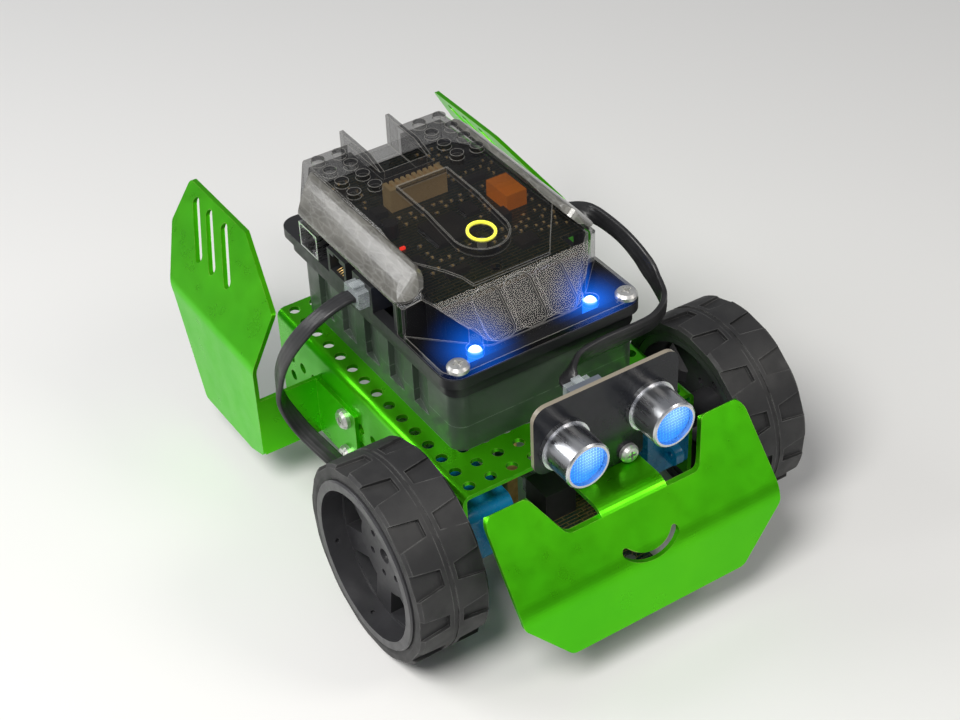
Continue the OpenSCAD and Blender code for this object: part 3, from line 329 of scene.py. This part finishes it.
def near_places(made, places, core, reach, power):
    """Mask that falls from 1 within core of any of the places to 0 at a distance of reach."""
    total = None
    for place in places:
        gap = made.node("ShaderNodeVectorMath", operation="DISTANCE")
        made.link(made.place, gap.inputs[0])
        gap.inputs[1].default_value = place
        near = made.between(gap.outputs["Value"], core, reach, 1, 0)
        falloff = made.node("ShaderNodeMath", operation="POWER")
        made.link(near, falloff.inputs[0])
        falloff.inputs[1].default_value = power
        if total:
            added = made.node("ShaderNodeMath", operation="ADD")
            made.link(total, added.inputs[0])
            made.link(falloff.outputs["Value"], added.inputs[1])
            total = added.outputs["Value"]
        else:
            total = falloff.outputs["Value"]
    return total


def eye_light():
    """Lit disc behind the mesh: deep blue, with a painted highlight, a paler glowing spot up and to one
    side.
    """
    made = Surface("eye_light", (0.1, 0.35, 0.8), roughness=0.5)
    made.vary((0.2, 0.5, 0.9), scale=300)
    low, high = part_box("transducer_meshes")
    radius = (high.z - low.z) / 2
    highlight_z = (high.z + low.z) / 2 + radius * 0.35
    highlight_spots = [(x + radius * 0.3, high.y, highlight_z) for x in (low.x + radius, high.x - radius)]
    # painted highlight: a white-blue glowing spot at the same offset in both eyes
    pale = near_places(made, highlight_spots, core=radius * 0.15, reach=radius * 1.05, power=1.2)
    made.glow_around(pale, (0.015, 0.25, 0.78), (0.5, 0.86, 1.0), 1.5)
    return made.bump([(900, 0.3)], 0.05 * MM)


def moulded(name, colour, lighter, roughness=0.45, edge_gain=1.6):
    """Moulded plastic: soft colour clouds, fine grain and slightly lighter edges, a painted highlight with
    some polish from wear.
    """
    made = Surface(name, colour, roughness=roughness)
    made.vary(lighter, scale=80, amount=0.6)
    # painted edge highlight, a lighter copy of the colour, with some wear
    made.edge_highlight_and_wear([min(1, c * edge_gain + 0.03) for c in colour], radius=0.3 * MM)
    made.uneven_gloss(0.08, scale=250)
    return made.bump([(1800, 0.3), (250, 0.08)], 0.04 * MM)


def lit_moulding(name, colour, lighter, strength):
    """Moulded plastic that glows faintly, from the lamps inside the controller."""
    return moulded(name, colour, lighter, roughness=0.35, edge_gain=1.3).glow(colour, strength)


def see_through(made, opacity, solid=None):
    """Lets what lies behind a thin wall show, clearer where the wall is seen straight on."""
    edge_gain = 0.45
    weight = made.node("ShaderNodeLayerWeight")
    weight.inputs["Blend"].default_value = 0.35
    alpha = made.between(weight.outputs["Facing"], 0, 1, opacity, min(1, opacity + edge_gain))
    if solid:
        more = made.node("ShaderNodeMath", operation="MAXIMUM")
        made.link(alpha, more.inputs[0])
        made.link(solid, more.inputs[1])
        alpha = more.outputs["Value"]
    made.link(alpha, made.shader.inputs["Alpha"])
    return made


def front_lamp_spots(depth):
    """Radius of the two front lamps, and the points on their axes at depth radii below their tops."""
    low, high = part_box("front_lamps")
    radius = (high.y - low.y) / 2
    y, z = (low.y + high.y) / 2, high.z - depth * radius
    return radius, [(x, y, z) for x in (low.x + radius, high.x - radius)]


def smoked_plastic():
    """Dark clear cover: pale where its edges catch light, blue where the front lamps shine into it."""
    made = Surface("smoked_cover_plastic", (0.006, 0.006, 0.008), roughness=0.06)
    made.set(IOR=1.4, Coat_Weight=0.15, Coat_Roughness=0.03)
    made.vary((0.012, 0.011, 0.01), scale=50)
    edge_glint = made.edges(radius=0.45 * MM)
    # painted highlight: pale colour along the cover's edges, where they catch light; the same mask makes
    # the edges more opaque
    made.paint(made.between(edge_glint, 0, 1, 0, 0.85), (0.42, 0.41, 0.38))
    made.uneven_gloss(0.03, scale=140)
    made.bump([(60, 0.03)], 0.04 * MM)
    lamp_radius, lamps = front_lamp_spots(1)
    halo = near_places(made, lamps, core=lamp_radius, reach=19 * MM, power=2.4)
    made.glow((0.0, 0.13, 0.8), 0)
    made.link(made.between(halo, 0, 1, 0, 1.7), made.shader.inputs["Emission Strength"])
    return see_through(made, 0.3, made.between(edge_glint, 0, 1, 0, 0.85))


def clear_plastic():
    made = Surface("clear_plug_plastic", (0.4, 0.44, 0.46), roughness=0.1)
    made.vary((0.55, 0.6, 0.62), scale=300)
    # painted edge highlight, with some wear
    made.edge_highlight_and_wear((0.8, 0.84, 0.86), radius=0.3 * MM)
    made.uneven_gloss(0.05, scale=600)
    made.bump([(1500, 0.1)], 0.03 * MM)
    return see_through(made, 0.28)


def frosted_plastic():
    made = Surface("frosted_box_plastic", (0.055, 0.075, 0.058), roughness=0.36)
    made.vary((0.085, 0.11, 0.088), scale=60)
    # painted edge highlight, with some wear
    made.edge_highlight_and_wear((0.26, 0.31, 0.27), radius=0.5 * MM)
    made.uneven_gloss(0.08, scale=200)
    made.bump([(1600, 0.25), (300, 0.1)], 0.05 * MM)
    return see_through(made, 0.72)


def diffuser_plastic():
    """Milky clear bar with fine smudges and a crumpled film inside."""
    made = Surface("light_bar_plastic", (0.15, 0.146, 0.13), roughness=0.22)
    made.set(Coat_Weight=0.5, Coat_Roughness=0.08)
    made.vary((0.08, 0.078, 0.07), scale=240, detail=6, amount=0.8, stretch=(1, 0.35, 1))
    folds = made.node("ShaderNodeTexVoronoi", feature="DISTANCE_TO_EDGE")
    folds.inputs["Scale"].default_value = 420
    mapping = made.node("ShaderNodeMapping")
    mapping.inputs["Scale"].default_value = (1, 0.3, 1)
    made.link(made.place, mapping.inputs["Vector"])
    made.link(mapping.outputs["Vector"], folds.inputs["Vector"])
    made.paint(made.between(folds.outputs["Distance"], 0.0, 0.12, 0.22, 0), (0.36, 0.36, 0.34))
    made.uneven_gloss(0.1, scale=300)
    made.bump([(420, 0.35, (1, 0.3, 1)), (1500, 0.15)], 0.12 * MM)
    return see_through(made, 0.86)


def tyre_rubber():
    made = Surface("tyre_rubber", (0.015, 0.015, 0.016), roughness=0.6)
    made.vary((0.032, 0.032, 0.032), scale=70, detail=6)
    # painted edge highlight on the rubber, with some wear
    made.edge_highlight_and_wear((0.11, 0.11, 0.108), radius=0.6 * MM, patchy=200)
    made.uneven_gloss(0.1, scale=160)
    return made.bump([(1500, 0.4), (350, 0.2)], 0.08 * MM)


def rim_plastic():
    return moulded("rim_plastic", (0.03, 0.03, 0.033), (0.045, 0.045, 0.049), roughness=0.36)


def glowing(name, colour, strength):
    made = Surface(name, [min(1, c + 0.05) for c in colour], roughness=0.3)
    made.vary([min(1, c + 0.2) for c in colour], scale=400, amount=0.5)
    made.glow(colour, strength)
    return made.bump([(1200, 0.1)], 0.03 * MM)


def front_lamp():
    """Clear dome, white-hot at its top and deep blue towards its foot."""
    made = Surface("front_lamp_light", (0.2, 0.45, 0.9), roughness=0.2)
    made.vary((0.3, 0.6, 1.0), scale=400)
    radius, tops = front_lamp_spots(0)
    white = near_places(made, tops, core=radius * 0.35, reach=radius * 1.15, power=1)
    made.glow_around(white, (0.0, 0.1, 0.7), (0.6, 0.85, 1.0), 4)
    return made.bump([(1200, 0.1)], 0.03 * MM)


def lead_vinyl():
    made = Surface("lead_vinyl", (0.014, 0.014, 0.015), roughness=0.38)
    made.vary((0.028, 0.028, 0.03), scale=120)
    made.uneven_gloss(0.08, scale=400)
    return made.bump([(1800, 0.2)], 0.03 * MM)


def polished_ball():
    made = Surface("polished_steel", (0.75, 0.75, 0.76), roughness=0.09, metallic=1)
    made.vary((0.6, 0.6, 0.61), scale=200)
    made.uneven_gloss(0.05, scale=300)
    return made.bump([(500, 0.05)], 0.02 * MM)


def wound_rotor():
    made = Surface("rotor_copper", (0.6, 0.3, 0.14), roughness=0.3, metallic=1)
    made.vary((0.4, 0.38, 0.36), scale=150)
    return made.bump([(900, 0.5, (1, 0.1, 1))], 0.06 * MM)


def plated_steel():
    made = Surface("plated_steel", (0.6, 0.6, 0.6), roughness=0.3, metallic=1)
    made.vary((0.45, 0.45, 0.46), scale=200)
    # painted edge highlight, with some wear
    made.edge_highlight_and_wear((0.8, 0.8, 0.8))
    made.uneven_gloss(0.12, scale=350, stretch=(1, 1, 6))
    return made.bump([(1600, 0.2, (1, 1, 8))], 0.03 * MM)


FINISHES = {
    "green_metal": anodised_green,
    "screw_steel": screw_steel,
    "brass": brass,
    "black_board": sensor_mask,
    "can_aluminium": can_metal,
    "lit_mesh": lit_mesh,
    "grey_plastic": lambda: moulded("socket_grey_plastic", (0.1, 0.115, 0.14), (0.14, 0.155, 0.18)),
    "clear_plastic": clear_plastic,
    "black_lead": lead_vinyl,
    "green_board": lambda: solder_mask("circuit_board_mask", (0.006, 0.026, 0.012), (0.16, 0.11, 0.035)),
    "black_plastic": lambda: moulded("black_moulding", (0.014, 0.0145, 0.016), (0.022, 0.023, 0.025), 0.4),
    "white_plastic": lambda: moulded("white_moulding", (0.74, 0.74, 0.71), (0.82, 0.82, 0.8), 0.42),
    "frosted_plastic": frosted_plastic,
    "cell_wrap": lambda: moulded("cell_wrap", (0.03, 0.2, 0.09), (0.05, 0.26, 0.12), 0.25),
    "spring_steel": plated_steel,
    "board_parts": lambda: moulded("small_parts_plastic", (0.03, 0.026, 0.02), (0.07, 0.06, 0.045), 0.4),
    "orange_plastic": lambda: lit_moulding("orange_moulding", (1.0, 0.24, 0.004), (1.0, 0.34, 0.01), 0.28),
    "gold_header": lambda: lit_moulding("connector_moulding", (0.8, 0.55, 0.24), (0.9, 0.66, 0.32), 0.12),
    "smoked_cover": smoked_plastic,
    "light_diffuser": diffuser_plastic,
    # painted glow: the printed yellow ring glows faintly, though it is no lamp
    "yellow_ring": lambda: glowing("yellow_ring_painted_glow", (0.85, 0.8, 0.02), 0.55),
    "blue_lamp": front_lamp,
    "red_lamp": lambda: glowing("red_lamp_light", (1.0, 0.03, 0.01), 2),
    "blue_plastic": lambda: moulded("gearbox_blue_plastic", (0.002, 0.18, 0.38), (0.004, 0.22, 0.46), 0.27),
    "copper_rotor": wound_rotor,
    "rim_plastic": rim_plastic,
    "tyre_rubber": tyre_rubber,
    "ball_steel": polished_ball,
}
finished = {}


def finish(slot):
    """The slot's material, made when it is first asked for."""
    if slot not in finished:
        finished[slot] = FINISHES[slot]().material
    return finished[slot]


def paint_nodes():
    for row in frame["record"]["subparts"]:
        node = nodes[row["node"]]
        node.data.materials.clear()
        node.data.materials.append(finish(row["material_slot"]))


# ---- Mesh helpers ------------------------------------------------------------


def add_mesh(name, mesh, slot, body="chassis", smooth=False):
    """Makes a piece of the mesh, with the slot's finish, that rides a body."""
    data = bpy.data.meshes.new(name)
    mesh.to_mesh(data)
    mesh.free()
    for polygon in data.polygons:
        polygon.use_smooth = smooth
    piece = bpy.data.objects.new(name, data)
    bpy.context.scene.collection.objects.link(piece)
    piece.data.materials.append(finish(slot))
    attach(piece, body)
    return piece


def add_block(mesh, low, high, rounding=0.0):
    """A box between two corners, with its edges cut back by rounding."""
    low, high = Vector(low), Vector(high)
    made = bmesh.ops.create_cube(mesh, size=1)
    bmesh.ops.scale(mesh, vec=high - low, verts=made["verts"])
    bmesh.ops.translate(mesh, vec=(low + high) / 2, verts=made["verts"])
    if rounding:
        edges = {e for v in made["verts"] for e in v.link_edges}
        bmesh.ops.bevel(mesh, geom=list(edges), offset=rounding, segments=2, affect="EDGES")


def add_rod(mesh, start, end, radius, sides):
    """A closed cylinder between two points."""
    start, end = Vector(start), Vector(end)
    turn = (end - start).to_track_quat("Z", "Y").to_matrix().to_4x4()
    place = Matrix.Translation((start + end) / 2) @ turn
    bmesh.ops.create_cone(
        mesh, cap_ends=True, segments=sides, radius1=radius, radius2=radius,
        depth=(end - start).length, matrix=place)


# ---- Flat leads --------------------------------------------------------------

# Points of each lead's centre line, with z from the plate's top, and the direction of its width there.
# Both are in mm.
PLATE_TOP = 54
SENSOR_ROUTE = [
    ((41.5, 6.5, 35), (0, 1, 0)), ((44, 6.5, 35), (0, 1, 0)), ((47.5, 2.5, 35), (0.5, 0.7, 0.4)),
    ((49.5, -5, 34.5), (0.3, 0, 1)), ((50.5, -15.5, 33), (0.2, 0.1, 1)), ((51.5, -24, 29), (0.2, 0.4, 1)),
    ((52, -30.5, 24), (0.2, 0.4, 1)), ((50.5, -37.5, 21), (0.2, 0.2, 1)), ((46.5, -42.2, 21), (0, 0, 1)),
    ((40, -45.6, 21), (0, 0, 1)), ((33, -47, 21.6), (0, 0, 1)), ((25.5, -47.5, 22.2), (0, 0, 1)),
    ((17.5, -47.6, 22.2), (0, 0, 1)), ((9.2, -48.3, 22), (0, -0.2, 1)),
    ((3.5, -51.2, 21.4), (0.5, -0.3, 0.8)), ((0, -55, 20.6), (1, 0, 0)), ((0, -58.3, 20.6), (1, 0, 0)),
]
LINE_ROUTE = [
    ((-41.5, 6.5, 35), (0, 1, 0)), ((-45, 6.5, 35), (0, 1, 0)), ((-53, 7, 32), (0, 1, 0)),
    ((-60, 10.5, 24), (0, 1, 0.2)), ((-63.5, 16, 13), (0.1, 1, 0.3)), ((-64, 21, 1), (0.3, 1, 0.3)),
    ((-63, 22.5, -9), (0.8, 0.7, 0.1)), ((-59.5, 17, -19), (1, 0.2, 0.3)), ((-54, 6, -28), (0.9, 0.3, 0.3)),
    ((-46, -6, -39.5), (0.8, 0.4, 0.2)), ((-35, -14, -43), (0.4, 0.9, 0)), ((-20, -19, -42.5), (0.3, 1, 0)),
    ((-8, -22, -39), (0.4, 0.9, 0)), ((-1, -26, -35.6), (0.8, 0.5, 0)), ((0, -30.5, -35), (1, 0, 0)),
    ((0, -34, -35), (1, 0, 0)),
]
LEAD_WIDTH = 6 * MM
LEAD_THICKNESS = 2.3 * MM
LEAD_CORES = 4
LEAD_STEPS = 10
LEAD_SIDES = 32


def curve_point(points, stretch, t):
    """Point of a smooth curve through the points, at a fraction t of one stretch."""
    last = len(points) - 1
    a, b = points[max(stretch - 1, 0)], points[stretch]
    c, d = points[min(stretch + 1, last)], points[min(stretch + 2, last)]
    square = 2 * a - 5 * b + 4 * c - d
    cube = 3 * b - a - 3 * c + d
    return 0.5 * ((2 * b) + (c - a) * t + square * t**2 + cube * t**3)


def lead_outline():
    """Section of a flat lead: several round cores side by side in one jacket."""
    squareness = 0.35
    groove = 0.16
    outline = []
    for i in range(LEAD_SIDES):
        angle = 2 * math.pi * i / LEAD_SIDES
        across = math.cos(angle)
        height = math.copysign(abs(math.sin(angle)) ** squareness, math.sin(angle))
        ripple = 1 - groove + groove * abs(math.sin(math.pi * LEAD_CORES * (across + 1) / 2))
        outline.append((across * LEAD_WIDTH / 2, height * ripple * LEAD_THICKNESS / 2))
    return outline


def flat_lead(name, route, node):
    """Sweeps the section of a flat lead along its route, in place of the CAD node."""
    points = [(Vector(p) + Vector((0, 0, PLATE_TOP))) * MM for p, _ in route]
    widths = [Vector(w) for _, w in route]
    last = len(route) - 1
    spots = []
    for k in range(last * LEAD_STEPS + 1):
        stretch = min(k // LEAD_STEPS, last - 1)
        spots.append((stretch, k / LEAD_STEPS - stretch))
    line = [curve_point(points, i, t) for i, t in spots]
    turns = [curve_point(widths, i, t) for i, t in spots]
    outline = lead_outline()
    mesh = bmesh.new()
    rings = []
    for k, (centre, wide) in enumerate(zip(line, turns)):
        along = line[min(k + 1, len(line) - 1)] - line[max(k - 1, 0)]
        if k == 0:
            along = points[1] - points[0]
        elif k == len(line) - 1:
            along = points[-1] - points[-2]
        along.normalize()
        wide = (wide - wide.dot(along) * along).normalized()
        side = along.cross(wide)
        rings.append([mesh.verts.new(centre + a * wide + b * side) for a, b in outline])
    count = len(outline)
    for near, far in zip(rings, rings[1:]):
        for j in range(count):
            mesh.faces.new((near[j], near[(j + 1) % count], far[(j + 1) % count], far[j]))
    mesh.faces.new(reversed(rings[0]))
    mesh.faces.new(rings[-1])
    bmesh.ops.recalc_face_normals(mesh, faces=mesh.faces)
    piece = add_mesh(name, mesh, "black_lead", smooth=True)
    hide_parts(node)


# ---- Detail pieces -----------------------------------------------------------


def woven_eyes():
    """Woven wire mesh and the lit disc behind it, inside both transducer cans."""
    low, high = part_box("transducer_meshes")
    radius = (high.z - low.z) / 2
    middle_z = (high.z + low.z) / 2
    wire = 0.09 * MM
    pitch = 0.58 * MM
    depth = 0.3 * MM
    disc_thickness = 0.25 * MM
    disc_share = 0.98
    mesh = bmesh.new()
    discs = bmesh.new()
    for side in (-1, 1):
        centre_x = side * (high.x - radius)
        count = int(radius / pitch)
        for i in range(-count, count + 1):
            reach = math.sqrt(radius**2 - (i * pitch) ** 2) - wire
            if reach <= pitch:
                continue
            weave = wire * 0.5 * (1 if i % 2 else -1)
            y = low.y + depth + weave
            z = middle_z + i * pitch
            x = centre_x + i * pitch
            add_rod(mesh, (centre_x - reach, y, z), (centre_x + reach, y, z), wire, sides=6)
            add_rod(mesh, (x, y + wire, middle_z - reach), (x, y + wire, middle_z + reach), wire, sides=6)
        back = (centre_x, high.y, middle_z)
        front = (centre_x, high.y - disc_thickness, middle_z)
        add_rod(discs, front, back, radius * disc_share, sides=48)
    eyes = add_mesh("eye_mesh_wires", mesh, "lit_mesh", smooth=True)
    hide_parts("transducer_meshes")
    lit = add_mesh("eye_light_discs", discs, "lit_mesh")
    lit.data.materials.clear()
    lit.data.materials.append(eye_light().material)


def chip_ends(mesh, low, high):
    """Plated ends of a small chip part, a hair larger than its body."""
    skin = 0.03 * MM
    run = (high.x - low.x) / 4
    for x0, x1 in ((low.x - skin, low.x + run), (high.x - run, high.x + skin)):
        add_block(mesh, (x0, low.y - skin, low.z), (x1, high.y + skin, high.z + skin))


# Rectangles on the controller's board, as x and y of two corners in mm.
CHIP_REGION = (-32, -8, 32, 56)
LARGER_PARTS = [
    (-11, 2, 7, 20), (8, 13, 14, 21), (-28, 24, -17, 37), (-26, -3, -17, 4), (11, -13, 20, -6),
    (-4, -12, 4, -3), (-28, 13, -15, 23), (-26, 40, -18, 48), (-19, 29, -12, 35), (13, 3, 20, 10),
    (-17, -13, -7, -9), (15, 29, 27, 33), (19, 39, 25, 45), (25, 42, 31, 52), (20, 8, 29, 22),
    (-22, 2, -17, 13), (-12, 29, 12, 70), (26, 52, 36, 64), (-36, 52, -26, 64),
]
# Chips with legs, as x and y of the front left corner, width and length in mm.
LEGGED_CHIPS = [(-9, 4, 14, 14), (8, 14, 5, 6), (-26, 26, 8, 10)]


def too_close(x, y):
    """Whether a small part centred on (x, y) would touch a larger one."""
    keep_x, keep_y = 1.6 * MM, 1.2 * MM
    for corners in LARGER_PARTS:
        x0, y0, x1, y1 = [c * MM for c in corners]
        if x0 - keep_x < x < x1 + keep_x and y0 - keep_y < y < y1 + keep_y:
            return True
    return False


def scatter_chips(count, seed):
    """Small surface-mounted parts in rows on the controller's board, clear of the larger parts."""
    pitch = 1.5
    apart_x, apart_y = 2.6 * MM, 1.6 * MM
    half_length, half_width = 0.8 * MM, 0.4 * MM
    heights = (0.45, 0.6, 0.8)
    tries_per_chip = 40
    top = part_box("controller_board")[1].z
    rng = random.Random(seed)
    bodies, ends = bmesh.new(), bmesh.new()
    x0, y0, x1, y1 = [c * MM for c in CHIP_REGION]
    placed = []
    tries = 0
    while len(placed) < count and tries < count * tries_per_chip:
        tries += 1
        x = x0 + round(rng.random() * (x1 - x0) / (pitch * MM)) * pitch * MM
        y = y0 + round(rng.random() * (y1 - y0) / (pitch * MM)) * pitch * MM
        if too_close(x, y):
            continue
        if any(abs(x - a) < apart_x and abs(y - b) < apart_y for a, b in placed):
            continue
        placed.append((x, y))
        height = rng.choice(heights) * MM
        low = Vector((x - half_length, y - half_width, top))
        high = Vector((x + half_length, y + half_width, top + height))
        add_block(bodies, low, high)
        chip_ends(ends, low, high)
    add_mesh("controller_chips_bodies", bodies, "gold_header")
    add_mesh("controller_chips_ends", ends, "spring_steel")


def chip_legs():
    """Bent legs along both long sides of the main chip and its neighbours."""
    pitch = 0.8
    half_width = 0.15 * MM
    reach = 1.0
    foot_height = 0.2 * MM
    knee_reach = 0.35 * MM
    knee_height = 0.8 * MM
    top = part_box("controller_board")[1].z
    mesh = bmesh.new()
    for x, y, width, length in LEGGED_CHIPS:
        for i in range(int(length / pitch) - 1):
            leg_y = (y + (i + 1) * pitch) * MM
            y0, y1 = leg_y - half_width, leg_y + half_width
            for edge, out in ((x, -1), (x + width, 1)):
                inner = edge * MM
                foot = sorted((inner, (edge + out * reach) * MM))
                knee = sorted((inner, inner + out * knee_reach))
                add_block(mesh, (foot[0], y0, top), (foot[1], y1, top + foot_height))
                add_block(mesh, (knee[0], y0, top), (knee[1], y1, top + knee_height))
    add_mesh("chip_legs", mesh, "spring_steel")


def connector_pins():
    """Gold pins inside the module connector's slots."""
    each_side = 4
    pitch = 2.2
    half_width = 0.25 * MM
    front, back = 2.6 * MM, 3.4 * MM
    foot, clearance = 3 * MM, 0.6 * MM
    low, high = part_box("module_connector")
    middle = (low.x + high.x) / 2
    mesh = bmesh.new()
    for i in range(-each_side, each_side + 1):
        x = middle + i * pitch * MM
        corner = (x - half_width, low.y + front, low.z + foot)
        opposite = (x + half_width, low.y + back, high.z - clearance)
        add_block(mesh, corner, opposite, rounding=0.08 * MM)
    add_mesh("connector_pins", mesh, "brass")


def socket_contacts(name, mouth, outward):
    """Thin gold springs on the floor of a modular socket that opens along outward."""
    each_side = 2
    pitch = 1.2
    setback = 1.2 * MM
    drop = Vector((0, 0, 3.1 * MM))
    run, rise = 4.2 * MM, Vector((0, 0, 1.1 * MM))
    inward = -outward
    across = Vector((outward.y, -outward.x, 0))
    mesh = bmesh.new()
    for i in range(-each_side, each_side + 1):
        start = mouth + inward * setback + across * (i * pitch * MM) - drop
        add_rod(mesh, start, start + inward * run + rise, 0.2 * MM, sides=8)
    add_mesh(name, mesh, "brass", smooth=True)


def solder_joints():
    """Solder domes of the transducers on the back of the sensor board."""
    leg_offset = 5
    dome_radius = 0.9 * MM
    proud = 0.1 * MM
    board_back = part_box("sensor_board")[1].y
    can_low, can_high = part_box("transducer_cans")
    centre_z = (can_low.z + can_high.z) / 2
    can_x = can_high.x - (can_high.z - can_low.z) / 2
    mesh = bmesh.new()
    for side in (-1, 1):
        for dx in (-leg_offset, leg_offset):
            spot = Matrix.Translation((side * can_x + dx * MM, board_back + proud, centre_z))
            bmesh.ops.create_uvsphere(mesh, u_segments=16, v_segments=10, radius=dome_radius, matrix=spot)
    add_mesh("solder_joints", mesh, "screw_steel", smooth=True)


def cell_bands():
    """Blank bands round the battery cells, seen through the frosted box."""
    band_radius = 7.12 * MM
    cell_radius = 7.1 * MM
    inset = 1.5 * MM
    band_length = 12 * MM
    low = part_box("battery_cells")[0]
    mesh = bmesh.new()
    for x in (-24, -8, 8, 24):
        start = Vector((x * MM, low.y + inset, low.z + cell_radius))
        add_rod(mesh, start, start + Vector((0, band_length, 0)), band_radius, sides=40)
    add_mesh("cell_bands", mesh, "brass")


# ---- Build -------------------------------------------------------------------

add_camera()
add_studio()
add_floor()
paint_nodes()
flat_lead("sensor_lead", SENSOR_ROUTE, "sensor_cable")
flat_lead("line_lead", LINE_ROUTE, "line_cable")
woven_eyes()
scatter_chips(count=130, seed=4)
chip_legs()
connector_pins()
side_low, side_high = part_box("side_sockets")
socket_z = (side_low.z + side_high.z) / 2
free_y = 23 * MM
socket_contacts("left_port_contacts", Vector((side_low.x, free_y, socket_z)), Vector((-1, 0, 0)))
socket_contacts("right_port_contacts", Vector((side_high.x, free_y, socket_z)), Vector((1, 0, 0)))
solder_joints()
cell_bands()
